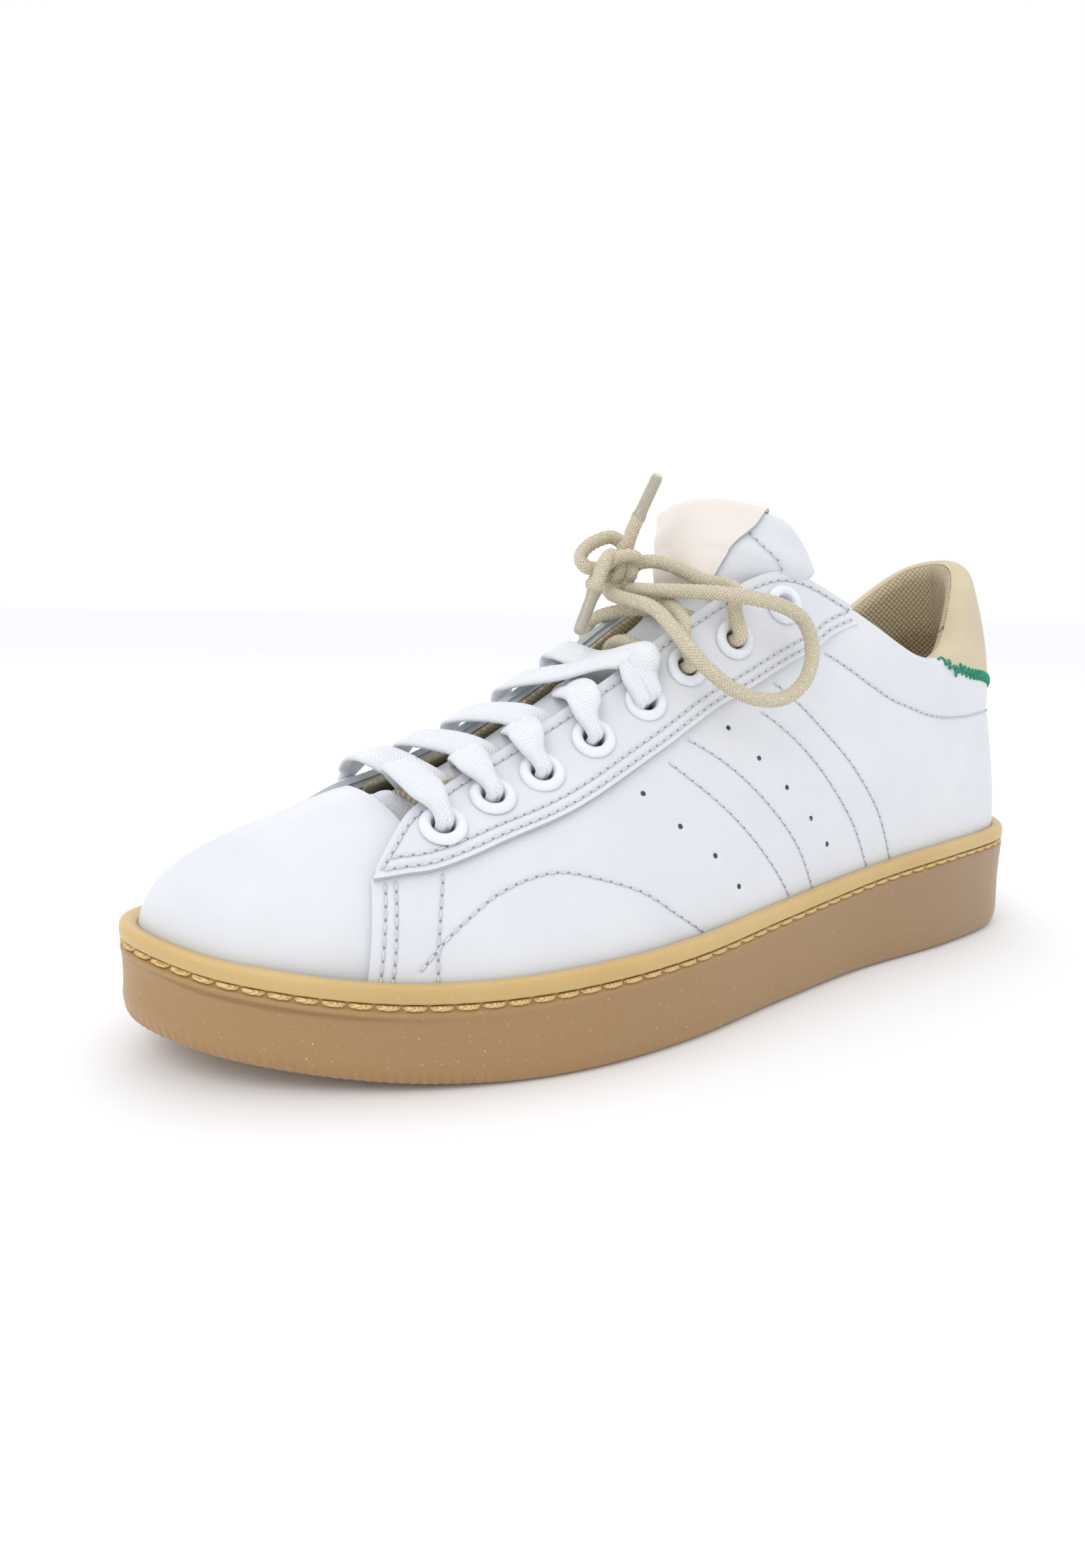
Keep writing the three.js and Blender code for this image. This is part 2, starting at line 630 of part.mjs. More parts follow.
// The clear aglet goes on straight from the end of a tail.
function aglet(points) {
  const [before, end] = points.slice(-2).map((p) => new THREE.Vector3(...p));
  const along = end.clone().sub(before).normalize();
  const profile = [[0, 0], [AGLET.radius, 0], [AGLET.radius, AGLET.length - 0.7],
    [AGLET.radius - 0.6, AGLET.length], [0, AGLET.length]].map(([r, z]) => new THREE.Vector2(r, z));
  const rod = new THREE.LatheGeometry(profile, 8);
  const turn = new THREE.Quaternion().setFromUnitVectors(new THREE.Vector3(0, 1, 0), along);
  rod.applyQuaternion(turn);
  end.addScaledVector(along, GAP);
  rod.translate(end.x, end.y, end.z);
  return tidy(rod);
}

// ---------------------------------------------------------------- assembly

const group = new THREE.Group();
const shoe = new THREE.Group();
shoe.position.set(-CENTRE_X, -CENTRE_Y, 0);
group.add(shoe);

function add(name, geometry, colour, roughness = 0.6, metalness = 0) {
  const material = new THREE.MeshStandardMaterial({ color: colour, roughness, metalness });
  const mesh = new THREE.Mesh(geometry, material);
  mesh.name = name;
  shoe.add(mesh);
  return mesh;
}

// Sole unit
add('outsole_cup', outsole(), COLOUR.gum, 0.45);
add('sidewall_stitch', sidewallStitch(), COLOUR.thread, 0.8);
add('midsole_filler', slabUnderfoot(LIP + 0.9, (x) => soleFloor(x) + GAP, (x) => soleTop(x) - 9),
  COLOUR.foam, 0.9);
add('insole_board', slabUnderfoot(LIP + 0.9, (x) => soleTop(x) - 8.7, (x) => soleTop(x) - TUCK - 0.4),
  COLOUR.board, 0.9);
add('sockliner', slabUnderfoot(9.8, (x) => soleTop(x) - TUCK - 0.1, (x) => soleTop(x) - 2.2),
  COLOUR.beige, 0.9);

// Toe
add('vamp', panel(vampGrid(0, 24, 7, 0), LAYER.vamp, true), COLOUR.white, 0.4);
add('toe_puff', panel(ruled(band(-2.1, 2.1, 0.05, 0.68), 20, 4), LAYER.toePuff), COLOUR.foam, 0.8);
add('vamp_lining', panel(vampGrid(0.2, 20, 5, 0.04), LAYER.vampLining, true), COLOUR.beige, 0.9);

// Sides
for (const [label, side] of [['lateral', 1], ['medial', -1]]) {
  const turned = (struts) => (side > 0 ? struts : mirrored(struts));
  add(`quarter_${label}`, punched(panel(ruled(turned(QUARTER), 28, 6), LAYER.quarter), side),
    COLOUR.white, 0.4);
  add(`eyestay_${label}`, punched(panel(ruled(turned(EYESTAY), 20, 3), LAYER.eyestay), side),
    COLOUR.white, 0.4);
  add(`quarter_lining_${label}`, punched(
    panel(ruled(turned(band(3.65, 11.5, 0.05, 0.985)), 20, 8), padded(LAYER.lining)), side),
  COLOUR.beige, 0.95);
}

// Heel and collar
add('heel_counter', panel(ruled(band(10.8, ROUND - 10.8, 0.03, 0.47), 20, 5), LAYER.counter),
  COLOUR.board, 0.8);
add('heel_lining', panel(ruled(band(11.56, ROUND - 11.56, 0.05, 0.985), 16, 8),
  padded(LAYER.lining)), COLOUR.beige, 0.95);
add('collar_foam', panel(ruled(band(9.3, ROUND - 9.3, 0.67, 0.965), 26, 3), [
  (t, w) => LAYER.lining[1] + 2 * GAP - collarDepth(t, w),
  0,
]), COLOUR.foam, 0.95);
add('heel_tab', panel(ruled([...HEEL_TAB_HALF, ...mirrored(HEEL_TAB_HALF).reverse().slice(1)], 28, 4),
  LAYER.quarter), COLOUR.beige, 0.7);

// Tongue
add('tongue_front', tonguePlate(0, TONGUE_TOP, 1, -1.1, 0), COLOUR.white, 0.4);
add('tongue_foam', tonguePlate(0.3, TONGUE_TOP - 0.1, 0.95,
  (u, v) => -2 - tonguePad(u, v), -1.9), COLOUR.foam, 0.95);
add('tongue_lining', tonguePlate(0.3, TONGUE_TOP - 0.1, 0.95,
  (u, v) => -3.6 - tonguePad(u, v), (u, v) => -2.8 - tonguePad(u, v)), COLOUR.beige, 0.95);
add('tongue_label', tonguePlate(5.3, TONGUE_TOP - 0.02, 0.7, 0.5, 1.5, 8, 8), COLOUR.nude, 0.6);

// Eyelets
for (const [label, side] of [['lateral', 1], ['medial', -1]]) {
  EYELETS.forEach((place, k) => {
    const mesh = add(`eyelet_${label}_${k + 1}`, eyelet(), COLOUR.plastic, 0.3);
    const { centre, turn } = frameAt(side, place, 0);
    mesh.position.copy(centre);
    mesh.quaternion.copy(turn);
  });
}

add('lace_white', tube(whiteLace(), WHITE_LACE_RADIUS, 150, 6), COLOUR.lace, 0.9);
add('lace_cord', tube(heldCord(), CORD_RADIUS, 90, 8), COLOUR.cord, 0.9);
add('bow_knot', knot(), COLOUR.cord, 0.9);
add('bow_large_loop', tube(LARGE_LOOP, CORD_RADIUS, 44, 8), COLOUR.cord, 0.9);
add('bow_small_loop', tube(SMALL_LOOP, CORD_RADIUS, 16, 8), COLOUR.cord, 0.9);
add('bow_upper_tail', tube(UPPER_TAIL, CORD_RADIUS, 5, 8), COLOUR.cord, 0.9);
add('bow_lower_tail', tube(LOWER_TAIL, CORD_RADIUS, 8, 8), COLOUR.cord, 0.9);
add('aglet_upper', aglet(UPPER_TAIL), COLOUR.clear, 0.2);
add('aglet_lower', aglet(LOWER_TAIL), COLOUR.clear, 0.2);

export default group;
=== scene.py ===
"""Looks of the left court shoe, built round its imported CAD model.

Lengths are in millimetres in the drawing frame (+X toe, +Y outer side, +Z up, back of the heel
at x = 0) until place() turns them into metres in the row frame.
"""

import math

import bpy
import bmesh
import numpy as np
from mathutils import Matrix, Vector


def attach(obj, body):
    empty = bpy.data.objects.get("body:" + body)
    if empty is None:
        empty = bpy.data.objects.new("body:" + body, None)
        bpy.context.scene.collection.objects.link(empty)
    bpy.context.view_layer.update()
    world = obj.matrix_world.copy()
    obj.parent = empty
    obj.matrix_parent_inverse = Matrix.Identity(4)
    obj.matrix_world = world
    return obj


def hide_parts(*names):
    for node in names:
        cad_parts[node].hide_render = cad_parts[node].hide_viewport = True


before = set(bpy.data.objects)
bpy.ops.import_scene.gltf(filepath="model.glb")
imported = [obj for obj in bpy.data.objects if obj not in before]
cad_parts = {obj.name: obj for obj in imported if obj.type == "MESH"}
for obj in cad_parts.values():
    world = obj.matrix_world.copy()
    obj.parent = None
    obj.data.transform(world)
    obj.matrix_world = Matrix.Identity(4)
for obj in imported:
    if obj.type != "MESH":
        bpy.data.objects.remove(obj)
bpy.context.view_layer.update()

MM = 0.001
CENTRE = np.array([138.0, 0.8, 0.0])


def place(points):
    """Millimetres in the drawing frame to metres in the row frame."""
    return (np.asarray(points, float) - CENTRE) * MM


# ------------------------------------------------------------------ camera

def unit(v):
    v = np.asarray(v, float)
    return v / np.linalg.norm(v, axis=-1, keepdims=True)


def add_camera():
    azimuth, elevation, roll = (math.radians(a) for a in (146.67, 10.0, 0.86))
    back = np.array([math.sin(azimuth) * math.cos(elevation),
                     -math.cos(azimuth) * math.cos(elevation), math.sin(elevation)])
    right = unit(np.cross(-back, [0, 0, 1]))
    up = np.cross(right, -back)
    right, up = (math.cos(roll) * right + math.sin(roll) * up,
                 math.cos(roll) * up - math.sin(roll) * right)
    lens = bpy.data.cameras.new("camera")
    lens.sensor_fit = "HORIZONTAL"
    lens.sensor_width = 36
    lens.lens = 33.35
    lens.clip_start = 0.01
    camera = bpy.data.objects.new("camera", lens)
    camera.matrix_world = Matrix([[*row, p] for row, p in zip(
        np.column_stack([right, up, back]), (0.1757, 0.2128, 0.0988))] + [[0, 0, 0, 1]])
    bpy.context.scene.collection.objects.link(camera)
    bpy.context.scene.camera = camera


add_camera()


# ------------------------------------------------------------------ curves

def spline(points, t, closed=False):
    """Uniform Catmull-Rom spline through rows of numbers."""
    points = np.asarray(points, float)
    n = len(points)
    t = np.asarray(t, float)
    i = np.floor(t).astype(int)
    f = (t - i)[..., None]
    a, b, c, d = (points[(i + k) % n if closed else np.clip(i + k, 0, n - 1)]
                  for k in (-1, 0, 1, 2))
    return 0.5 * (2 * b + (c - a) * f + (2 * a - 5 * b + 4 * c - d) * f ** 2
                  + (3 * b - a - 3 * c + d) * f ** 3)


def height_at(pairs, x):
    """Smooth height through (x, z) pairs in rising order of x."""
    px, pz = np.array(pairs, float).T
    secant = np.diff(pz) / np.diff(px)
    slope = np.concatenate([secant[:1], (secant[:-1] + secant[1:]) / 2, secant[-1:]])
    x = np.clip(np.asarray(x, float), px[0], px[-1])
    i = np.clip(np.searchsorted(px, x, side="right") - 1, 0, len(px) - 2)
    h = px[i + 1] - px[i]
    f = (x - px[i]) / h
    return ((2 * f ** 3 - 3 * f ** 2 + 1) * pz[i] + (f ** 3 - 2 * f ** 2 + f) * h * slope[i]
            + (3 * f ** 2 - 2 * f ** 3) * pz[i + 1] + (f ** 3 - f ** 2) * h * slope[i + 1])


def smooth(a, b, x):
    f = np.clip((np.asarray(x, float) - a) / (b - a), 0, 1)
    return f * f * (3 - 2 * f)


def resample(points, step):
    """Points at equal steps along a polyline, and their distances from its start."""
    points = np.asarray(points, float)
    along = np.concatenate([[0], np.cumsum(np.linalg.norm(np.diff(points, axis=0), axis=1))])
    count = max(int(round(along[-1] / step)), 2)
    s = np.linspace(0, along[-1], count + 1)
    return np.column_stack([np.interp(s, along, points[:, k]) for k in range(points.shape[1])]), s


def through(points, step, closed=False):
    """Smooth path through given points, centripetal so that it doesn't overshoot."""
    p = np.asarray(points, float)
    ends = (p[0] * 2 - p[1], p[-1] * 2 - p[-2])
    p = np.vstack([ends[0], p, ends[1]])
    knots = np.concatenate([[0], np.cumsum(
        np.maximum(np.linalg.norm(np.diff(p, axis=0), axis=1), 1e-6) ** 0.5)])
    out = []
    for i in range(1, len(p) - 2):
        t0, t1, t2, t3 = knots[i - 1:i + 3]
        t = np.linspace(t1, t2, 24, endpoint=i == len(p) - 3)[:, None]
        a1 = (t1 - t) / (t1 - t0) * p[i - 1] + (t - t0) / (t1 - t0) * p[i]
        a2 = (t2 - t) / (t2 - t1) * p[i] + (t - t1) / (t2 - t1) * p[i + 1]
        a3 = (t3 - t) / (t3 - t2) * p[i + 1] + (t - t2) / (t3 - t2) * p[i + 2]
        b1 = (t2 - t) / (t2 - t0) * a1 + (t - t0) / (t2 - t0) * a2
        b2 = (t3 - t) / (t3 - t1) * a2 + (t - t1) / (t3 - t1) * a3
        out.append((t2 - t) / (t2 - t1) * b1 + (t - t1) / (t2 - t1) * b2)
    return resample(np.vstack(out), step)


# ------------------------------------------------------------------ sole and last

SOLE_X = [276, 268, 251, 226, 196, 165, 129, 92, 52, 21, 5.5, 0]
SOLE_OUTER_Y = [-5.5, 13.5, 28.5, 42, 50.5, 51, 45.2, 40.2, 38.9, 33.4, 19, 0]
SOLE_INNER_Y = [-5.5, -25.3, -39.5, -48.3, -49.5, -44.4, -37.7, -35.4, -36.8, -32, -18.5, 0]
SOLE_TOP = [(0, 32.7), (55, 31.8), (110, 27.6), (184, 23.8), (230, 23.4), (262, 28), (276, 32)]
HALF = len(SOLE_X) - 1
OUTLINE = (list(zip(SOLE_X, SOLE_OUTER_Y))
           + list(zip(SOLE_X[1:-1], SOLE_INNER_Y[1:-1]))[::-1])
TUCK = 6.0
RIDGE_SLOPE = -0.3


def outline(q, inset=0.0):
    """Plan points of the sole's edge, moved inwards: x, y, outward normal, and the station."""
    q = np.asarray(q, float)
    p = spline(OUTLINE, q, True)
    along = spline(OUTLINE, q + 0.01, True) - spline(OUTLINE, q - 0.01, True)
    n = unit(np.stack([-along[..., 1], along[..., 0]], -1))
    n = n * np.where((n * (p - CENTRE[:2])).sum(-1) > 0, 1, -1)[..., None]
    return p - n * np.asarray(inset, float)[..., None], n, p[..., 0]


def sole_top(x):
    return height_at(SOLE_TOP, x)


def sole_bottom(x):
    x = np.asarray(x, float)
    return 10.2 * (np.maximum(x - 200, 0) / 76) ** 2 + 1.6 * (np.maximum(24 - x, 0) / 24) ** 2


def sole_floor(x):
    return sole_bottom(x) + 11 * (sole_top(x) - sole_bottom(x)) / 28


# Outline parameter, inset, top x, y, z, rise of the wall, swell, reach of the top tangent, lift.
STATIONS = [
    (0, 3.6, 246, 0, 51.0, 15, 0, 16, None), (1.1, 3.6, 243, 0, 51.9, 15, 0, 16, None),
    (2.1, 4.6, 236, 0, 54.0, 16, 0, 17, None), (3.0, 5.0, 225, 0, 57.3, 18, 0, 19, None),
    (3.8, 5.0, 213, 8.5, 58.2, 19, 0, 15, -3), (4.65, 5.0, 192, 12, 64.5, 21, 0, 14, -8),
    (5.47, 5.0, 165, 12.5, 79.0, 24, 0, 13, -12), (6.2, 5.0, 140, 13.5, 95.0, 26, 0, 12, -16),
    (6.8, 5.0, 111, 16.5, 108.0, 27, 0, 10, -22), (7.35, 5.0, 88, 25.0, 98.5, 24, 0, 5, -20),
    (7.9, 5.0, 64, 29.5, 86.0, 20, 0, 1, -16), (8.5, 5.0, 46, 26.5, 87.5, 22, 0, 2, -18),
    (9.2, 5.0, 33, 21.0, 101.5, 26, 1, 4, -24), (10.05, 5.0, 21, 12.0, 112.5, 30, 1.6, 8, -30),
    (11, 5.0, 15, 0, 115.5, 30, 2, 10, -32),
]
HEEL = len(STATIONS) - 1
ROUND = 2 * HEEL
RIDGE_END = 3


def rib(station, side):
    q, inset, x, y, z, rise, swell, reach, lift = station
    (fx, fy), (nx, ny), at = outline(q if side > 0 else 2 * HALF - q, inset)
    foot = float(sole_top(at)) - TUCK
    away = unit([fx - x, fy - y * side])
    lift = RIDGE_SLOPE * away[0] * reach if lift is None else lift
    return [(fx, fy, foot), (fx + nx * swell, fy + ny * swell, foot + rise),
            (x + away[0] * reach, y * side + away[1] * reach, z + lift), (x, y * side, z)]


RAILS = np.array([rib(s, 1) for s in STATIONS] + [rib(s, -1) for s in STATIONS[1:-1]][::-1])


def last(t, w):
    """The surface of the last: t runs once round from the toe, w from the sole to the top."""
    t, w = np.broadcast_arrays(np.asarray(t, float), np.asarray(w, float))
    a, b, c, d = (spline(RAILS[:, k], t, True) for k in range(4))
    ridge = (np.abs(t) <= RIDGE_END + 1e-9) | (np.abs(ROUND - t) <= RIDGE_END + 1e-9)
    d = np.stack([d[..., 0], np.where(ridge, 0, d[..., 1]), d[..., 2]], -1)
    w = w[..., None]
    return (1 - w) ** 3 * a + 3 * w * (1 - w) ** 2 * b + 3 * w * w * (1 - w) * c + w ** 3 * d


def last_normal(t, w):
    t, w = np.broadcast_arrays(np.asarray(t, float), np.asarray(w, float))
    e = 1e-3
    v = np.clip(w, e, 1 - e)
    n = unit(np.cross(last(t + e, v) - last(t - e, v), last(t, v + e) - last(t, v - e)))
    ridge = (np.abs(t) <= RIDGE_END + 1e-9) | (np.abs(ROUND - t) <= RIDGE_END + 1e-9)
    top = (w > 1 - 1e-6) & ridge
    return np.where(top[..., None], unit([-RIDGE_SLOPE, 0, 1]), n)


def off(t, w, distance=0.0):
    return last(t, w) + last_normal(t, w) * np.asarray(distance, float)[..., None]


def turn(t, side):
    """t counts from the toe on either side: +1 is the outer side and -1 the inner."""
    return t if side > 0 else ROUND - t


def on_side(side, t, w, distance):
    return off(turn(t, side), w, distance)


def from_toe(t):
    return np.where(t > HEEL, ROUND - t, t)


# ------------------------------------------------------------------ materials

def new_material(name):
    mat = bpy.data.materials.new(name)
    mat.use_nodes = True
    nodes, links = mat.node_tree.nodes, mat.node_tree.links
    return mat, nodes, links, nodes["Principled BSDF"]


def set_sockets(node, **values):
    for key, value in values.items():
        node.inputs[key.replace("_", " ")].default_value = value


def coordinates(nodes, links, kind, scale):
    source = nodes.new("ShaderNodeTexCoord")
    mapping = nodes.new("ShaderNodeMapping")
    mapping.inputs["Scale"].default_value = scale
    links.new(source.outputs[kind], mapping.inputs["Vector"])
    return mapping.outputs["Vector"]


def noise(nodes, links, vector, scale, detail=4.0, rough=0.55):
    node = nodes.new("ShaderNodeTexNoise")
    set_sockets(node, Scale=scale, Detail=detail, Roughness=rough)
    links.new(vector, node.inputs["Vector"])
    return node.outputs["Fac"]


def ramp(nodes, links, value, low, high, from_min=0.3, from_max=0.7):
    """A colour between low and high as value goes over its range."""
    node = nodes.new("ShaderNodeValToRGB")
    node.color_ramp.elements[0].position = from_min
    node.color_ramp.elements[0].color = (*low, 1)
    node.color_ramp.elements[1].position = from_max
    node.color_ramp.elements[1].color = (*high, 1)
    links.new(value, node.inputs["Fac"])
    return node.outputs["Color"]


def spread(nodes, links, value, low, high):
    """value, from 0 to 1, spread over low to high."""
    node = nodes.new("ShaderNodeMapRange")
    set_sockets(node, To_Min=low, To_Max=high)
    links.new(value, node.inputs["Value"])
    return node.outputs["Result"]


def math_node(nodes, links, operation, a, b=None):
    node = nodes.new("ShaderNodeMath")
    node.operation = operation
    for socket, value in zip(node.inputs, (a, b)):
        if value is None:
            continue
        if isinstance(value, (int, float)):
            socket.default_value = value
        else:
            links.new(value, socket)
    return node.outputs[0]


def bump(nodes, links, height, distance, strength=1.0, before=None):
    node = nodes.new("ShaderNodeBump")
    set_sockets(node, Distance=distance, Strength=strength)
    links.new(height, node.inputs["Height"])
    if before is not None:
        links.new(before, node.inputs["Normal"])
    return node.outputs["Normal"]


def leather(name, low, high, roughness=(0.36, 0.5), grain=1500.0, depth=0.00005):
    """Smooth coated leather: fine pebbled grain, faint pores and uneven shine."""
    mat, nodes, links, shader = new_material(name)
    place_at = coordinates(nodes, links, "Object", (1, 1, 1))
    broad = noise(nodes, links, place_at, 45, 3)
    links.new(ramp(nodes, links, broad, low, high), shader.inputs["Base Color"])
    cells = nodes.new("ShaderNodeTexVoronoi")
    set_sockets(cells, Scale=grain)
    links.new(place_at, cells.inputs["Vector"])
    fine = noise(nodes, links, place_at, 5200, 2)
    grain_bump = bump(nodes, links, cells.outputs["Distance"], depth, 0.35)
    creases = noise(nodes, links, place_at, 170, 5, 0.6)
    folded = bump(nodes, links, creases, 0.00035, 0.22, grain_bump)
    links.new(bump(nodes, links, fine, depth * 0.5, 0.2, folded), shader.inputs["Normal"])
    links.new(spread(nodes, links, noise(nodes, links, place_at, 420, 3), *roughness),
              shader.inputs["Roughness"])
    set_sockets(shader, Specular_IOR_Level=0.45, Coat_Weight=0.06, Coat_Roughness=0.3,
                Subsurface_Weight=0.04, Subsurface_Scale=0.001)
    return mat


def fibre(name, low, high, scale=2600.0, depth=0.0003, rough=0.9):
    """Loose fibres, as on a cut leather edge, foam or board."""
    mat, nodes, links, shader = new_material(name)
    place_at = coordinates(nodes, links, "Object", (1, 1, 1))
    strands = noise(nodes, links, place_at, scale, 5, 0.7)
    links.new(ramp(nodes, links, strands, low, high), shader.inputs["Base Color"])
    links.new(bump(nodes, links, strands, depth, 0.5), shader.inputs["Normal"])
    set_sockets(shader, Roughness=rough, Specular_IOR_Level=0.2)
    return mat


def wave(nodes, links, vector, scale, direction="X", shape="SIN"):
    node = nodes.new("ShaderNodeTexWave")
    node.bands_direction = direction
    node.wave_profile = shape
    set_sockets(node, Scale=scale, Distortion=0.0)
    links.new(vector, node.inputs["Vector"])
    return node.outputs["Fac"]


def knit(name, low, high, pitch=1.35, depth=0.0006):
    """Spacer mesh: rows of raised loops, with the gaps between them painted dark as shade. UVs are in
    millimetres.
    """
    mat, nodes, links, shader = new_material(name)
    turned = coordinates(nodes, links, "UV", (1 / pitch, 1 / pitch, 1))
    turned.node.inputs["Rotation"].default_value = (0, 0, math.radians(45))
    cells = nodes.new("ShaderNodeTexVoronoi")
    cells.feature = "F1"
    set_sockets(cells, Scale=1.0, Randomness=0.12)
    links.new(turned, cells.inputs["Vector"])
    loops = math_node(nodes, links, "SUBTRACT", 1.0, cells.outputs["Distance"])
    place_at = coordinates(nodes, links, "Object", (1, 1, 1))
    yarn = noise(nodes, links, place_at, 3800, 3)
    # Painted shade: the colour darkens in the gaps between the loops. The yarn noise is random tone.
    tone_and_painted_shade = math_node(nodes, links, "ADD", math_node(nodes, links, "MULTIPLY", loops, 0.8),
                     math_node(nodes, links, "MULTIPLY", yarn, 0.25))
    links.new(ramp(nodes, links, tone_and_painted_shade, low, high, 0.3, 0.85), shader.inputs["Base Color"])
    loop_bump = bump(nodes, links, loops, depth, 0.9)
    links.new(bump(nodes, links, yarn, 0.0001, 0.5, loop_bump), shader.inputs["Normal"])
    set_sockets(shader, Roughness=0.92, Specular_IOR_Level=0.15, Sheen_Weight=0.25,
                Sheen_Roughness=0.5)
    return mat


def braid(name, low, high, along=1.1, around=8.0, depth=0.0005, fleck=None):
    """Two sets of strands crossing on a cord or a tape, painted darker between the strands as shade. U is
    millimetres, V one turn.
    """
    mat, nodes, links, shader = new_material(name)
    at = coordinates(nodes, links, "UV", (1 / along, around, 1))
    rings = nodes.new("ShaderNodeSeparateXYZ")
    links.new(at, rings.inputs["Vector"])
    u, v = rings.outputs["X"], rings.outputs["Y"]

    def stripe(slant):
        phase = math_node(nodes, links, "ADD", math_node(nodes, links, "MULTIPLY", u, math.pi),
                          math_node(nodes, links, "MULTIPLY", v, math.pi * slant))
        return math_node(nodes, links, "ABSOLUTE", math_node(nodes, links, "SINE", phase))

    cross = math_node(nodes, links, "MULTIPLY", stripe(1), stripe(-1))
    place_at = coordinates(nodes, links, "Object", (1, 1, 1))
    hairs = noise(nodes, links, place_at, 4200, 4, 0.7)
    # Painted shade: the colour darkens where the strands dip. The hairs and flecks are random tone.
    tone_and_painted_shade = math_node(nodes, links, "ADD", math_node(nodes, links, "MULTIPLY", cross, 0.7),
                     math_node(nodes, links, "MULTIPLY", hairs, 0.4))
    colour = ramp(nodes, links, tone_and_painted_shade, low, high, 0.15, 0.8)
    if fleck is not None:
        spots = noise(nodes, links, place_at, 1500, 1)
        mix = nodes.new("ShaderNodeMixRGB")
        links.new(ramp(nodes, links, spots, (0, 0, 0), (1, 1, 1), 0.56, 0.66), mix.inputs["Fac"])
        links.new(colour, mix.inputs["Color1"])
        mix.inputs["Color2"].default_value = (*fleck, 1)
        colour = mix.outputs["Color"]
    links.new(colour, shader.inputs["Base Color"])
    strand_bump = bump(nodes, links, cross, depth, 0.9)
    links.new(bump(nodes, links, hairs, 0.00012, 0.6, strand_bump), shader.inputs["Normal"])
    set_sockets(shader, Roughness=0.88, Specular_IOR_Level=0.2, Sheen_Weight=0.3,
                Sheen_Roughness=0.5)
    return mat


def twisted(name, low, high, roughness=0.6):
    """Sewing thread: two plies laid round each other, painted darker in the groove between them as shade.
    """
    mat, nodes, links, shader = new_material(name)
    place_at = coordinates(nodes, links, "Object", (1, 1, 1))
    plies = wave(nodes, links, place_at, 900, "DIAGONAL")
    # Painted shade: the colour darkens in the groove between the plies.
    links.new(ramp(nodes, links, plies, low, high, 0.1, 0.8), shader.inputs["Base Color"])
    links.new(bump(nodes, links, plies, 0.00012, 0.7), shader.inputs["Normal"])
    set_sockets(shader, Roughness=roughness, Specular_IOR_Level=0.35)
    return mat


def gum_rubber(name):
    """Amber rubber that lets light in, paler on the lip as a painted highlight, with dust and fine mould
    marks.
    """
    mat, nodes, links, shader = new_material(name)
    place_at = coordinates(nodes, links, "Object", (1, 1, 1))
    lip_highlight_band = nodes.new("ShaderNodeAttribute")
    lip_highlight_band.attribute_name = "lip_highlight_band"
    clouds = noise(nodes, links, place_at, 30, 3)
    where = nodes.new("ShaderNodeSeparateXYZ")
    links.new(place_at, where.inputs["Vector"])
    toward_toe = nodes.new("ShaderNodeMapRange")
    set_sockets(toward_toe, From_Min=-0.12, From_Max=0.13)
    links.new(where.outputs["X"], toward_toe.inputs["Value"])
    shade = math_node(nodes, links, "ADD", math_node(
        nodes, links, "MULTIPLY", toward_toe.outputs["Result"], 0.75),
        math_node(nodes, links, "MULTIPLY", clouds, 0.25))
    wall = ramp(nodes, links, shade, (0.312, 0.198, 0.1), (0.4, 0.241, 0.096), 0.05, 0.95)
    # Painted highlight: the lip band is paler and yellower for the light its thin top catches and lets
    # through.
    lip = ramp(nodes, links, clouds, (0.545, 0.385, 0.155), (0.6, 0.44, 0.19))
    mix = nodes.new("ShaderNodeMixRGB")
    links.new(lip_highlight_band.outputs["Fac"], mix.inputs["Fac"])
    links.new(wall, mix.inputs["Color1"])
    links.new(lip, mix.inputs["Color2"])
    dust = noise(nodes, links, place_at, 1900, 1)
    specks = nodes.new("ShaderNodeMixRGB")
    links.new(ramp(nodes, links, dust, (0, 0, 0), (0.7, 0.7, 0.7), 0.73, 0.77),
              specks.inputs["Fac"])
    links.new(mix.outputs["Color"], specks.inputs["Color1"])
    specks.inputs["Color2"].default_value = (0.85, 0.72, 0.5, 1)
    links.new(specks.outputs["Color"], shader.inputs["Base Color"])
    marks = noise(nodes, links, place_at, 700, 4)
    links.new(bump(nodes, links, marks, 0.00012, 0.35), shader.inputs["Normal"])
    links.new(spread(nodes, links, noise(nodes, links, place_at, 90, 3), 0.3, 0.46),
              shader.inputs["Roughness"])
    set_sockets(shader, Specular_IOR_Level=0.5, Subsurface_Weight=0.55, Subsurface_Scale=0.006)
    shader.inputs["Subsurface Radius"].default_value = (1.0, 0.5, 0.18)
    return mat


def plastic(name, low, high, roughness=(0.22, 0.32), clear=0.0):
    mat, nodes, links, shader = new_material(name)
    place_at = coordinates(nodes, links, "Object", (1, 1, 1))
    links.new(ramp(nodes, links, noise(nodes, links, place_at, 220, 3), low, high),
              shader.inputs["Base Color"])
    links.new(spread(nodes, links, noise(nodes, links, place_at, 900, 3), *roughness),
              shader.inputs["Roughness"])
    links.new(bump(nodes, links, noise(nodes, links, place_at, 1400, 3), 0.00005, 0.25),
              shader.inputs["Normal"])
    set_sockets(shader, Specular_IOR_Level=0.5, Transmission_Weight=clear)
    return mat


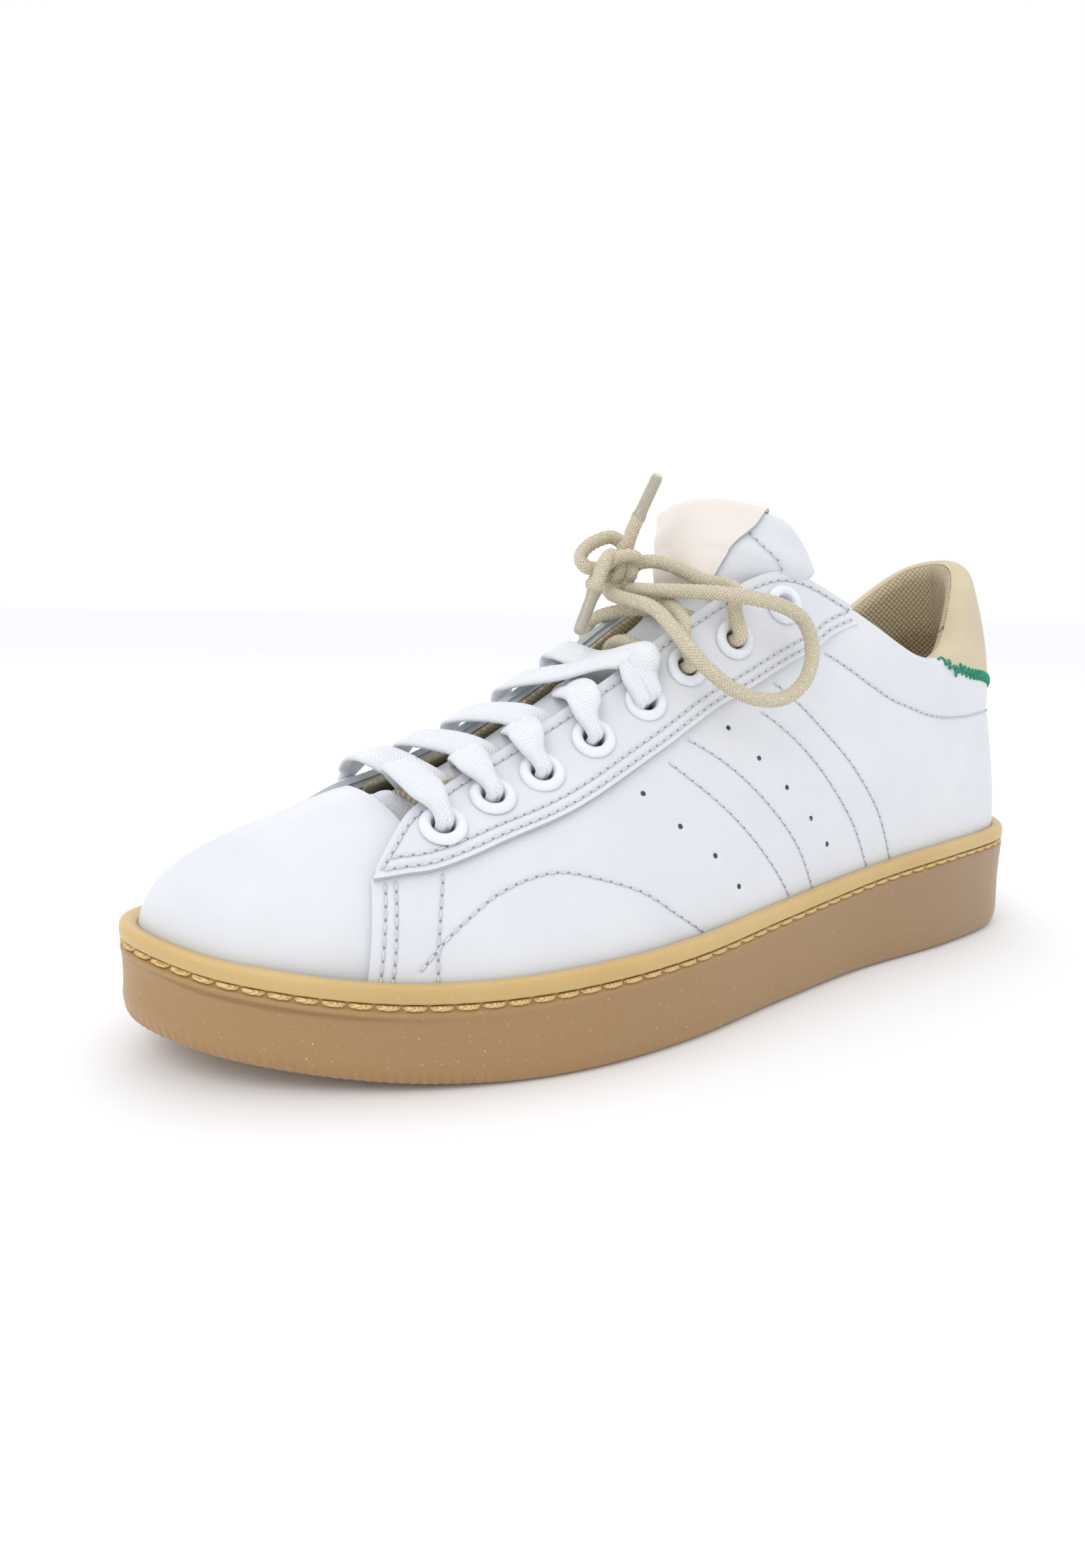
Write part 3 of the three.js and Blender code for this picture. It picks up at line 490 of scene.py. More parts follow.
WHITE = leather("white_leather", (0.695, 0.71, 0.74), (0.745, 0.755, 0.78))
BEIGE = leather("beige_leather", (0.57, 0.48, 0.31), (0.64, 0.55, 0.37), (0.45, 0.6))
NUDE = leather("label_leather", (0.78, 0.70, 0.63), (0.83, 0.77, 0.71), (0.5, 0.62), 2200)
EDGE = fibre("raw_edge", (0.42, 0.45, 0.47), (0.62, 0.65, 0.67))
FOAM = fibre("foam", (0.62, 0.58, 0.48), (0.75, 0.71, 0.62), 1200)
BOARD = fibre("board", (0.42, 0.34, 0.22), (0.55, 0.46, 0.31), 900)
MESH = knit("beige_mesh", (0.27, 0.205, 0.115), (0.70, 0.59, 0.39))
GUM = gum_rubber("gum_rubber")
EYELET_WHITE = plastic("eyelet_plastic", (0.78, 0.8, 0.86), (0.84, 0.86, 0.9))
CLEAR = plastic("clear_aglet", (0.93, 0.88, 0.76), (0.95, 0.91, 0.8), (0.08, 0.16), 0.7)
CORD = braid("beige_cord", (0.62, 0.52, 0.34), (0.94, 0.84, 0.63), 0.85, 10.0, 0.0004,
             (0.9, 0.81, 0.62))
TAPE = braid("white_tape", (0.78, 0.8, 0.84), (0.92, 0.93, 0.95), 0.9, 14.0, 0.0002)
THREAD_WHITE = twisted("white_thread", (0.6, 0.62, 0.66), (0.76, 0.78, 0.81))
THREAD_SOLE = twisted("sole_thread", (0.55, 0.36, 0.12), (0.82, 0.62, 0.3), 0.45)
THREAD_GREEN = twisted("green_thread", (0.01, 0.19, 0.11), (0.04, 0.4, 0.24))
THREAD_PINK = twisted("pink_thread", (0.55, 0.36, 0.33), (0.75, 0.56, 0.52))
# Grey for the needle holes: painted shade, as the leather is not pierced.
NEEDLE_HOLE_SHADE = fibre("needle_hole_shade", (0.3, 0.315, 0.345), (0.44, 0.455, 0.485), 3000)
# Near-black for the punched holes: painted shade.
PUNCHED_HOLE_SHADE = fibre("punched_hole_shade", (0.04, 0.045, 0.055), (0.1, 0.11, 0.125), 3000)


# ------------------------------------------------------------------ pieces

def finish_piece(obj, body, replaces=()):
    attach(obj, body)
    if replaces:
        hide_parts(*replaces)
    return obj


def make_object(name, verts, faces, materials, face_materials=None, uvs=None, smooth_faces=True):
    """A mesh object from points in millimetres. uvs are per vertex."""
    mesh = bpy.data.meshes.new(name)
    mesh.from_pydata(place(verts).tolist(), [], [list(map(int, f)) for f in faces])
    for mat in materials:
        mesh.materials.append(mat)
    if face_materials is not None:
        mesh.polygons.foreach_set("material_index", np.asarray(face_materials, np.int32))
    mesh.polygons.foreach_set("use_smooth", np.full(len(mesh.polygons), smooth_faces))
    if uvs is not None:
        layer = mesh.uv_layers.new(name="UVMap")
        index = np.zeros(len(mesh.loops), np.int32)
        mesh.loops.foreach_get("vertex_index", index)
        layer.data.foreach_set("uv", np.asarray(uvs, np.float32)[index].ravel())
    mesh.update()
    obj = bpy.data.objects.new(name, mesh)
    bpy.context.scene.collection.objects.link(obj)
    return obj


def grid_faces(rows, cols, wrap_rows=False, wrap_cols=False):
    r = np.arange(rows if wrap_rows else rows - 1)
    c = np.arange(cols if wrap_cols else cols - 1)
    i, j = np.meshgrid(r, c, indexing="ij")
    i2, j2 = (i + 1) % rows, (j + 1) % cols
    return np.stack([i * cols + j, i2 * cols + j, i2 * cols + j2, i * cols + j2], -1).reshape(-1, 4)


def surface_lengths(points):
    """UVs in millimetres from the grid's own arc lengths."""
    step = lambda axis: np.linalg.norm(np.diff(points, axis=axis), axis=-1)
    u = np.concatenate([np.zeros((1, points.shape[1])), np.cumsum(step(0), 0)])
    v = np.concatenate([np.zeros((points.shape[0], 1)), np.cumsum(step(1), 1)], 1)
    middle = u[:, points.shape[1] // 2][:, None]
    return np.stack([np.broadcast_to(middle, v.shape), v], -1)


def harden(obj, bevel, segments=2):
    """Rounds the edges of a solidified skin and applies everything."""
    mod = obj.modifiers.new("bevel", "BEVEL")
    mod.width = bevel * MM
    mod.segments = segments
    mod.limit_method = "ANGLE"
    mod.angle_limit = math.radians(40)
    mod.harden_normals = True
    bake(obj)


def bake(obj):
    evaluated = obj.evaluated_get(bpy.context.evaluated_depsgraph_get())
    mesh = bpy.data.meshes.new_from_object(evaluated)
    obj.modifiers.clear()
    obj.data = mesh


def skin(name, points, thickness, materials, holes=(), bevel=0.25, flip=False, merge=True):
    """A sheet with real thickness: points[i][j] is its outer face, in millimetres."""
    rows, cols = points.shape[:2]
    faces = grid_faces(rows, cols)
    if flip:
        faces = faces[:, ::-1]
    flat = points.reshape(-1, 3)
    for centre, axis, radius in holes:
        away = flat - centre
        along = away @ axis
        radial = np.linalg.norm(away - along[:, None] * axis, axis=1)
        hit = (radial < radius) & (np.abs(along) < 12)
        faces = faces[~hit[faces].any(axis=1)]
    used = np.unique(faces)
    index = np.full(len(flat), -1)
    index[used] = np.arange(len(used))
    uvs = surface_lengths(points).reshape(-1, 2)[used]
    obj = make_object(name, flat[used], index[faces], materials, uvs=uvs)
    if merge:
        bm = bmesh.new()
        bm.from_mesh(obj.data)
        bmesh.ops.remove_doubles(bm, verts=bm.verts, dist=4e-6)
        bm.to_mesh(obj.data)
        bm.free()
    mod = obj.modifiers.new("solid", "SOLIDIFY")
    mod.thickness = thickness * MM
    mod.offset = -1
    mod.use_even_offset = False
    mod.material_offset = 1
    mod.material_offset_rim = 2
    bake(obj)
    if bevel:
        harden(obj, bevel)
    return obj


def join(name, objs):
    """Several mesh objects as one. The first one's name and materials come first."""
    with bpy.context.temp_override(active_object=objs[0], selected_editable_objects=objs,
                                   object=objs[0], selected_objects=objs):
        bpy.ops.object.join()
    objs[0].name = name
    objs[0].data.name = name
    return objs[0]


# ------------------------------------------------------------------ sewing

def frames_at(points, normals, s_all, s):
    p = np.column_stack([np.interp(s, s_all, points[:, k]) for k in range(3)])
    n = unit(np.column_stack([np.interp(s, s_all, normals[:, k]) for k in range(3)]))
    e = 0.2
    ahead = np.column_stack([np.interp(s + e, s_all, points[:, k]) for k in range(3)])
    behind = np.column_stack([np.interp(s - e, s_all, points[:, k]) for k in range(3)])
    along = unit(ahead - behind)
    return p, n, along, unit(np.cross(n, along))


def stitch_row(points, normals, pitch=2.5, length=2.0, radius=0.24, slant=0.0, holes=True):
    """Vertices, faces and material indices of a row of sewn stitches, with grey cones of painted shade for
    their needle holes.
    """
    gaps = np.linalg.norm(np.diff(points, axis=0), axis=1)
    s_all = np.concatenate([[0], np.cumsum(gaps)])
    count = max(int(s_all[-1] / pitch), 1)
    centres = (np.arange(count) + 0.5) * s_all[-1] / count
    p, n, along, across = frames_at(points, normals, s_all, centres)
    sides = 6
    profile = [(-0.5, -1.0, 0.55), (-0.36, 0.25, 0.9), (0, 0.6, 1.0), (0.36, 0.25, 0.9),
               (0.5, -1.0, 0.55)]
    ring = np.arange(sides) / sides * 2 * math.pi
    verts, faces, slots = [], [], []
    for k in range(count):
        base = len(verts)
        direction = unit(along[k] + across[k] * slant)
        for f, height, size in profile:
            centre = p[k] + direction * f * length + n[k] * height * radius
            for a in ring:
                verts.append(centre + (across[k] * math.cos(a) + n[k] * math.sin(a) * 0.8)
                             * radius * size)
        tube = grid_faces(len(profile), sides, False, True) + base
        faces += tube.tolist()
        slots += [0] * len(tube)
        faces += [list(range(base + sides - 1, base - 1, -1)),
                  list(range(base + 4 * sides, base + 5 * sides))]
        slots += [0, 0]
        if not holes:
            continue
        # Needle hole: a small grey cone just proud of the leather, painted shade standing in for the hole.
        hole = p[k] + direction * 0.5 * pitch
        base = len(verts)
        reach = radius * 1.25
        verts += [hole + n[k] * 0.05, hole - n[k] * 0.1]
        verts += [hole + (along[k] * math.cos(a) + across[k] * math.sin(a)) * reach for a in ring]
        for m in range(sides):
            one, two = base + 2 + m, base + 2 + (m + 1) % sides
            faces += [[base, one, two], [base + 1, two, one]]
            slots += [1, 1]
    return verts, faces, slots


def sew(name, rows, thread, body="shoe", replaces=()):
    """One object holding several rows of stitches. Each row is a dict for stitch_row."""
    verts, faces, slots = [], [], []
    for row in rows:
        v, f, m = stitch_row(**row)
        base = len(verts)
        verts += v
        faces += [[i + base for i in face] for face in f]
        slots += m
    obj = make_object(name, np.array(verts), faces, [thread, NEEDLE_HOLE_SHADE], slots)
    return finish_piece(obj, body, replaces)


# ------------------------------------------------------------------ cords and laces

def transport(points):
    """Tangents and two cross axes along a path, turned as little as possible."""
    along = unit(np.gradient(points, axis=0))
    side = np.cross(along[0], [0, 0, 1])
    if np.linalg.norm(side) < 0.1:
        side = np.cross(along[0], [0, 1, 0])
    a = np.zeros_like(points)
    a[0] = unit(side)
    for i in range(1, len(points)):
        moved = a[i - 1] - along[i] * (a[i - 1] @ along[i])
        a[i] = unit(moved)
    return along, a, np.cross(along, a)


def tube_mesh(name, points, radius, materials, sides=20, ends=True, relief=None):
    """A round tube. UVs are millimetres along and turns around. relief(s, turn) raises it."""
    points = np.asarray(points, float)
    _, a, b = transport(points)
    s = np.concatenate([[0], np.cumsum(np.linalg.norm(np.diff(points, axis=0), axis=1))])
    turns = np.arange(sides + 1) / sides
    angle = turns * 2 * math.pi
    r = np.broadcast_to(np.asarray(radius, float).reshape(-1, 1), (len(points), 1))
    size = r + (relief(s[:, None], turns[None, :]) if relief else 0)
    ring = a[:, None] * np.cos(angle)[None, :, None] + b[:, None] * np.sin(angle)[None, :, None]
    verts = points[:, None] + ring * size[..., None]
    uvs = np.stack(np.broadcast_arrays(s[:, None], turns[None, :]), -1).reshape(-1, 2)
    faces = grid_faces(len(points), sides + 1).tolist()
    if ends:
        n = sides + 1
        faces.append(list(range(n - 2, -1, -1)))
        faces.append(list(range((len(points) - 1) * n, len(points) * n - 1)))
    obj = make_object(name, verts.reshape(-1, 3), faces, materials, uvs=uvs)
    weld(obj)
    return obj


def weld(obj, distance=2e-6):
    bm = bmesh.new()
    bm.from_mesh(obj.data)
    bmesh.ops.remove_doubles(bm, verts=bm.verts, dist=distance)
    bmesh.ops.dissolve_degenerate(bm, edges=bm.edges, dist=1e-7)
    bmesh.ops.recalc_face_normals(bm, faces=bm.faces)
    bm.to_mesh(obj.data)
    bm.free()
    obj.data.update()


def braid_relief(depth, along=1.7, strands=10):
    def relief(s, turns):
        one = np.abs(np.sin(math.pi * (s / along + turns * strands / 2)))
        two = np.abs(np.sin(math.pi * (s / along - turns * strands / 2)))
        return depth * (one * two - 0.4)
    return relief


EYELETS = [(3.6, 0.64), (4.41, 0.76), (5.03, 0.8), (5.6, 0.82), (6.2, 0.83), (6.74, 0.845),
           (7.29, 0.84), (7.91, 0.88)]
TONGUE = [
    (231, 50.4, 229, 13, 43.5, 0, 0), (215, 53.2, 211, 16, 40.5, 0, 0),
    (192, 62.2, 187, 17, 45.5, 0, 0), (168, 75.4, 162, 16.5, 57.5, 0, 0),
    (146, 88.6, 138, 16.5, 69.5, 0, 0), (131, 100, 120, 16.5, 81, 0, 0),
    (129.5, 108.5, 108.5, 14.4, 94.5, 0, 0), (127.5, 116, 105, 14.2, 108, 0, 0.5),
    (124.5, 122.5, 106, 19.6, 116.5, 1.3, 3), (121, 128.3, 111, 27, 122, 4, 5),
]
TONGUE_TOP = len(TONGUE) - 1
LACE_R = 1.05
CORD_R = 1.7


def ridge_height(x):
    return height_at([row[:2] for row in TONGUE[:6]][::-1], x)


def lace_top(side, k, r, shift=0.0):
    t, w = EYELETS[k]
    return [on_side(side, t + shift, w, 4.6 + r), on_side(side, t + shift + 0.05, w + 0.08, 5.2 + r),
            on_side(side, t + shift + 0.15, 0.985, 5.1 + r)]


def lace_under(side, k, r):
    t, w = EYELETS[k]
    return [on_side(side, t - 0.06, 0.985, -3.5 - r), on_side(side, t, w + 0.06, -3.6 - r),
            on_side(side, t, w, -1.8 - r), on_side(side, t, w, 1.5)]


def over_tongue(x, height):
    return np.array([x, 0, float(ridge_height(x)) + height])


def row_x(k):
    return on_side(1, *EYELETS[k], 0)[0]


def crossing(side, k, layer, r):
    middle = (row_x(k) + row_x(k + 1)) / 2 + 2
    return (lace_top(side, k, r) + [over_tongue(middle, 1.2 + r + layer)]
            + lace_under(-side, k + 1, r))


def dive(side, k, m, layer, r, shift):
    t, w = EYELETS[m]
    return (lace_top(side, k, r) + [over_tongue((row_x(k) + row_x(m)) / 2 + 2, 2.6 + r + layer)]
            + lace_top(-side, m, r, 1.6 * shift)[::-1]
            + [on_side(-side, t + shift, w, d) for d in (4, 1.5, -1.6)])


def bar(k, r):
    return (lace_under(1, k, r)[::-1] + [over_tongue(row_x(k) + 5, 1.4 + r)]
            + lace_under(-1, k, r))


def white_lace_route():
    r, upper = LACE_R, 2 * LACE_R + 0.5
    outer = (crossing(1, 0, 0, r) + crossing(-1, 1, upper, r) + crossing(1, 2, 0, r)
             + dive(-1, 3, 4, upper, r, -0.04))
    inner = (crossing(-1, 0, upper, r) + crossing(1, 1, 0, r) + crossing(-1, 2, upper, r)
             + crossing(1, 3, 0, r) + dive(-1, 4, 4, 1, r, 0.04))
    return outer[::-1] + bar(0, r) + inner


TO_KNOT_OUTER = [(130.6, 10, 106.4), (133.2, 3.4, 109.4), (137.2, -1.2, 111.2),
                 (140, -4.8, 110.8), (142, -7.4, 109.6)]
TO_KNOT_INNER = [(141, -18.6, 104.4), (146.4, -16.6, 104.6), (148.6, -13.8, 105.6),
                 (146.4, -11, 107.4), (143.6, -9, 108.8)]


def held_cord_route():
    r = CORD_R
    middle = (row_x(5) + row_x(6)) / 2 + 2
    return (TO_KNOT_OUTER[::-1] + lace_top(1, 6, r)[::-1] + lace_under(1, 6, r)[::-1]
            + [over_tongue(middle, 2.4 + r)] + lace_top(-1, 5, r)[::-1] + bar(5, r)[::-1]
            + lace_top(1, 5, r) + [over_tongue(middle, 6.1 + r)]
            + lace_under(-1, 6, r) + lace_top(-1, 6, r) + TO_KNOT_INNER)


KNOT = np.array([142.3, -8, 109.1])
LARGE_LOOP = [
    (147.4, -8.6, 104.1), (148.6, -5.5, 102.6), (149.2, -1, 101.6), (149.2, 5, 100.6),
    (149.4, 11, 99.6), (149.6, 16, 97.8), (150.5, 20.4, 95.6), (150.7, 24.6, 92.8),
    (149.8, 28.4, 89.2), (147, 31.8, 84.6), (141, 34.6, 79.8), (132.6, 36.2, 77),
    (125, 36.8, 77.4), (118.6, 36.6, 81), (114.6, 35.2, 87), (114, 33.6, 92.4),
    (116.4, 32.6, 96.8), (122.5, 31.6, 99.8), (130.6, 29.6, 101.6), (137.6, 24.4, 102.8),
    (142.4, 16, 103.2), (144.6, 6, 103.4), (143.6, -2.4, 103.6), (142.6, -6.6, 103.1),
]
SMALL_LOOP = [
    (139.6, -11.8, 114.4), (139.6, -13.8, 116.8), (141.8, -15.2, 118), (145.6, -16, 117),
    (149.5, -16.2, 114.8), (151.9, -15.4, 112), (151.4, -13.8, 109.8), (149.6, -12.7, 109.2),
]
UPPER_TAIL = [(142.1, -7.4, 114.9), (141.7, -6.7, 117.8), (140.9, -5.9, 120.8),
              (139.9, -5.3, 123.4)]
LOWER_TAIL = [(148.4, -6, 112.6), (151.4, -4.4, 111.2), (153.6, -3.4, 108), (155.4, -2.6, 105),
              (157, -2.1, 102.2)]
THROUGH_KNOT_LARGE = [(142.3, -7.6, 106.5), (142.2, -7.9, 111)]
THROUGH_KNOT_SMALL = [(147.6, -10.6, 109.6), (146.6, -8.2, 111.2)]


def cord_piece(name, points, nodes, relief=0.22, radius=1.82):
    path, s = through(points, 0.4)
    obj = tube_mesh(name, path, radius, [CORD], 24, relief=braid_relief(relief))
    finish_piece(obj, "shoe", nodes)
    return obj, path, s[-1]


def aglet_piece(name, tail, node):
    """Clear sleeve shrunk over the end of the cord, which shows through it."""
    before, end = np.array(tail[-2], float), np.array(tail[-1], float)
    along = unit(end - before)
    start = end - along * 1.2
    core = tube_mesh(name + "_core", np.array([start + along * d for d in np.linspace(0, 12.2, 40)]),
                     np.interp(np.linspace(0, 12.2, 40), [0, 2, 11.6, 12.2], [1.55, 1.2, 1.1, 0.8]),
                     [CORD], 20, relief=braid_relief(0.1))
    heights = np.array([0, 0.15, 0.8, 2.5, 11.4, 12.3, 12.75, 12.9])
    outer = np.array([1.72, 1.95, 1.98, 1.66, 1.58, 1.5, 1.2, 0.9])
    s = np.linspace(0, 12.9, 60)
    sleeve = tube_mesh(name, np.array([start + along * d for d in s]), np.interp(s, heights, outer),
                       [CLEAR], 28)
    obj = join(name, [sleeve, core])
    return finish_piece(obj, "shoe", (node,))


def add_cords():
    large = LARGE_LOOP + THROUGH_KNOT_LARGE + UPPER_TAIL
    small = SMALL_LOOP + THROUGH_KNOT_SMALL + LOWER_TAIL
    upper = aglet_piece("upper_aglet", UPPER_TAIL, "aglet_upper")
    lower = aglet_piece("lower_aglet", LOWER_TAIL, "aglet_lower")
    for name, points, nodes, end in (
            ("bow_loop_and_tail_large", large, ("bow_large_loop", "bow_upper_tail"), upper),
            ("bow_loop_and_tail_small", small, ("bow_small_loop", "bow_lower_tail"), lower)):
        obj, path, length = cord_piece(name, points, nodes)
    obj, path, length = cord_piece("beige_lacing", held_cord_route(), ("lace_cord",))
    add_knot()
    add_white_lace()


def add_knot():
    """The tied part of the bow: turns of cord wrapped round one another."""
    axis = unit([-0.836, 0.549, 0.0])
    across = unit(np.cross(axis, [0, 0, 1]))
    f = np.linspace(0, 1, 90)
    angle = 2 * math.pi * (2.15 * f + 0.35)
    radius = 2.35 - 1.2 * (smooth(0.08, 0, f) + smooth(0.92, 1, f))
    helix = (KNOT + axis * ((f - 0.5) * 7.0)[:, None]
             + across * (radius * np.cos(angle))[:, None]
             + np.array([0, 0, 1.0]) * (radius * np.sin(angle))[:, None])
    wraps, _ = resample(helix, 0.35)
    wrap = tube_mesh("knot_wraps", wraps, 1.75, [CORD], 24, relief=braid_relief(0.2))
    hook = [(146.2, -12.4, 107.6), (148.6, -9.8, 108.6), (149.3, -6.4, 110.2),
            (147.4, -3.6, 112.2), (143.6, -2.6, 112.4), (140.4, -4.0, 110.6)]
    hook_path, _ = through(hook, 0.4)
    strand = tube_mesh("knot_hook", hook_path, 1.7, [CORD], 24, relief=braid_relief(0.2))
    finish_piece(join("knot_wraps", [wrap, strand]), "shoe", ("bow_knot",))


def add_white_lace():
    """Flat woven lace, gathered where it goes through a hole and spread out between them."""
    path, s = through(white_lace_route(), 0.45)
    along = unit(np.gradient(path, axis=0))
    slope = (ridge_height(path[:, 0] + 1) - ridge_height(path[:, 0] - 1)) / 2
    throat = unit(np.column_stack([np.ones(len(path)), np.zeros(len(path)), slope]))
    wide = unit(throat - along * (throat * along).sum(1)[:, None])
    flat = np.cross(along, wide)
    holes = np.array([on_side(side, t, w, d) for side in (1, -1) for t, w in EYELETS[:5]
                      for d in (0.0, 4.6)])
    near = np.linalg.norm(path[:, None] - holes[None], axis=2).min(1)
    spread_out = smooth(2.0, 10.0, near)
    half_width = 2.15 + 2.05 * spread_out
    half_depth = 1.25 - 0.3 * spread_out
    n = 32
    angle = np.arange(n + 1) / n * 2 * math.pi
    c, sn = np.cos(angle), np.sin(angle)
    x = np.sign(c) * np.abs(c) ** 0.75
    z = np.sign(sn) * np.abs(sn) ** 0.8
    dent = 0.28 * np.exp(-(x / 0.22) ** 2)
    ribs = 0.045 * np.sin(2 * math.pi * s / 0.95)[:, None] * np.sin(math.pi * 9 * x)[None, :]
    verts = (path[:, None] + wide[:, None] * (half_width[:, None] * x)[..., None]
             + flat[:, None] * (half_depth[:, None] * (z - np.sign(z) * dent)
                                + ribs * np.sign(z))[..., None])
    uvs = np.stack(np.broadcast_arrays(s[:, None], (angle / 2 / math.pi)[None, :]), -1)
    faces = grid_faces(len(path), n + 1).tolist()
    faces.append(list(range(n - 1, -1, -1)))
    faces.append(list(range((len(path) - 1) * (n + 1), len(path) * (n + 1) - 1)))
    obj = make_object("white_lacing", verts.reshape(-1, 3), faces, [TAPE],
                      uvs=uvs.reshape(-1, 2))
    weld(obj)
    finish_piece(obj, "shoe", ("lace_white",))


# ------------------------------------------------------------------ sole unit

def ring(q, inset, height):
    p, _, _ = outline(q, inset)
    return np.column_stack([p, height(p[:, 0])])


MIDDLE_Y = [(x, (a + b) / 2) for x, a, b in zip(SOLE_X, SOLE_OUTER_Y, SOLE_INNER_Y)][::-1]


def floor_rings(q, inset, height, parts):
    p, _, at = outline(q, inset)
    cx = np.clip(at, 40, 236)
    centre = np.column_stack([cx, height_at(MIDDLE_Y, cx)])
    rings = []
    for f in parts:
        xy = p + (centre - p) * f
        rings.append(np.column_stack([xy, height(xy[:, 0])]))
    return rings


def tread(xy):
    """Herringbone grooves cut up into the tread."""
    fold = np.abs((xy[:, 1] + 400) % 18 - 9)
    phase = ((xy[:, 0] + 0.9 * fold) % 6.4) / 6.4
    return 1.3 * smooth(0.52, 0.62, phase) * (1 - smooth(0.9, 1.0, phase))


def arc_lengths(q):
    p, _, _ = outline(q)
    return np.concatenate([[0], np.cumsum(np.linalg.norm(np.diff(p, axis=0), axis=1))])


def add_outsole():
    count = 1300
    q = np.arange(count) / count * 2 * HALF
    along = arc_lengths(q)
    mask = smooth(205, 222, outline(q)[2])
    teeth = 0.4 * (0.5 + 0.5 * np.cos(2 * math.pi * along / 2.3)) * mask
    rings, lip_highlight = [], []
    parts = np.concatenate([np.linspace(1, 0.06, 44), [0.02, 0]])
    for f, r in zip(parts, floor_rings(q, 3.2, sole_bottom, parts)):
        r[:, 2] += tread(r[:, :2]) * smooth(0.03, 0.09, f)
        rings.append(r)
        lip_highlight.append(0)
    low = [(2.2, 0.12), (1.5, 0.45), (0.95, 1.0), (0.55, 1.8), (0.3, 2.7), (0.12, 3.8), (0.03, 5.2)]
    for inset, rise in low:
        bite = teeth * smooth(4.2, 1.0, rise)
        rings.append(ring(q, inset + bite, lambda x: sole_bottom(x) + rise))
        lip_highlight.append(0)
    for f in np.linspace(0.3, 0.68, 6):
        waist = 0.35 * math.sin(math.pi * (f - 0.2) / 0.6)
        rings.append(ring(q, waist, lambda x: sole_bottom(x) + (sole_top(x) - sole_bottom(x)) * f))
        lip_highlight.append(0)
    wall = [(0.1, 6.9), (0.02, 6.3), (0.05, 5.95), (0.25, 5.65), (0.7, 5.4), (1.25, 5.05),
            (1.5, 4.6), (1.25, 4.15), (0.6, 3.85), (0.15, 3.6), (0.0, 3.2), (0.0, 2.2), (0.1, 1.2),
            (0.35, 0.55), (0.75, 0.15), (1.2, 0), (2.4, 0), (3.0, 0.1), (3.3, 0.4), (3.4, 0.9),
            (3.3, 2.5), (3.1, 5), (3.2, 10)]
    snug = 0.5 * smooth(238, 262, outline(q)[2])
    for inset, drop in wall:
        closer = snug * float(smooth(2.4, 3.3, inset)) * float(smooth(5.0, 1.5, drop))
        rings.append(ring(q, inset + closer, lambda x: sole_top(x) - drop))
        # Weights of the lip band, which gets the painted highlight colour.
        lip_highlight.append(float(smooth(5.8, 4.8, drop)) * (1 if drop < 9 else 0))
    for r in floor_rings(q, 3.4, sole_floor, (0, 0.4, 1)):
        rings.append(r)
        lip_highlight.append(0)
    grid = np.array(rings)
    obj = make_object("gum_cupsole", grid.reshape(-1, 3),
                      grid_faces(len(rings), count, False, True)[:, ::-1], [GUM])
    layer = obj.data.attributes.new("lip_highlight_band", "FLOAT", "POINT")
    layer.data.foreach_set("value", np.repeat(lip_highlight, count).astype(np.float32))
    weld(obj, 1e-6)
    finish_piece(obj, "shoe", ("outsole_cup",))


def add_sidewall_stitches():
    q = np.linspace(0, 2 * HALF, 1500)
    p, n, x = outline(q, 0.85)
    points = np.column_stack([p, sole_top(x) - 4.75])
    normals = np.column_stack([n, np.zeros(len(n))])
    obj = sew("sidewall_stitches", [dict(points=points, normals=normals, pitch=5.4, length=5.0,
                                         radius=0.62, holes=False)],
              THREAD_SOLE, replaces=("sidewall_stitch",))
    return obj


def add_sockliner():
    q = np.arange(500) / 500 * 2 * HALF
    rows = [(9.8, 6.05), (9.7, 4.2), (9.75, 3.2), (10.0, 2.6), (10.5, 2.25), (11.2, 2.15)]
    rings = floor_rings(q, 9.9, lambda x: sole_top(x) - 6.1, np.linspace(1, 0, 6))
    rings += [ring(q, inset, lambda x: sole_top(x) - drop) for inset, drop in rows]
    rings += floor_rings(q, 11.6, lambda x: sole_top(x) - 2.15, np.linspace(0, 1, 30))
    grid = np.array(rings)
    obj = make_object("sockliner_pad", grid.reshape(-1, 3),
                      grid_faces(len(rings), 500, False, True)[:, ::-1], [MESH],
                      uvs=grid.reshape(-1, 3)[:, :2])
    weld(obj, 1e-6)
    finish_piece(obj, "shoe", ("sockliner",))


# ------------------------------------------------------------------ shape of the upper's layers

COLLAR_LINE = [(8.2, 0.76), (8.31, 0.74), (8.76, 0.72), (9.29, 0.69), (9.92, 0.70), (10.9, 0.66),
               (12.14, 0.53), (13.7, 0.44), (14, 0.435)]
QUARTER_FACE = 1.5
EYESTAY_FACE = 3.2
ROLL = math.radians(118)


def collar_depth(t, w):
    return 3.4 * smooth(0.62, 0.8, w) * smooth(8.3, 9.3, from_toe(t))


def rolled(t):
    return smooth(8.2, 8.9, from_toe(t))


def wall_top(t):
    return 0.985 - 0.03 * rolled(t)


def bulge(t, w):
    """How far the padding swells the collar outwards above its stitch line."""
    x, y = zip(*COLLAR_LINE)
    line = np.interp(from_toe(t), x, y)
    f = np.clip((w - line) / (1 - line), 0, 1)
    return 1.6 * rolled(t) * 4 * f * (1 - f)


def lining_face(t, w):
    """Offset of the lining's face on the foot's side: tight to the leather round the throat."""
    return -1.25 - 1.75 * smooth(7.9, 8.8, from_toe(t)) - collar_depth(t, w)


def collar_edge(t, distance):
    """The half ellipse that the padded topline turns over: its centre and two half axes."""
    top = wall_top(t)
    outer = off(t, top, distance + bulge(t, top))
    inner = off(t, top, lining_face(t, top))
    rise = off(t, 1.0) - off(t, top)
    size = np.linalg.norm(rise, axis=-1, keepdims=True)
    return (outer + inner) / 2, (outer - inner) / 2, rise / size * (size + 0.9)


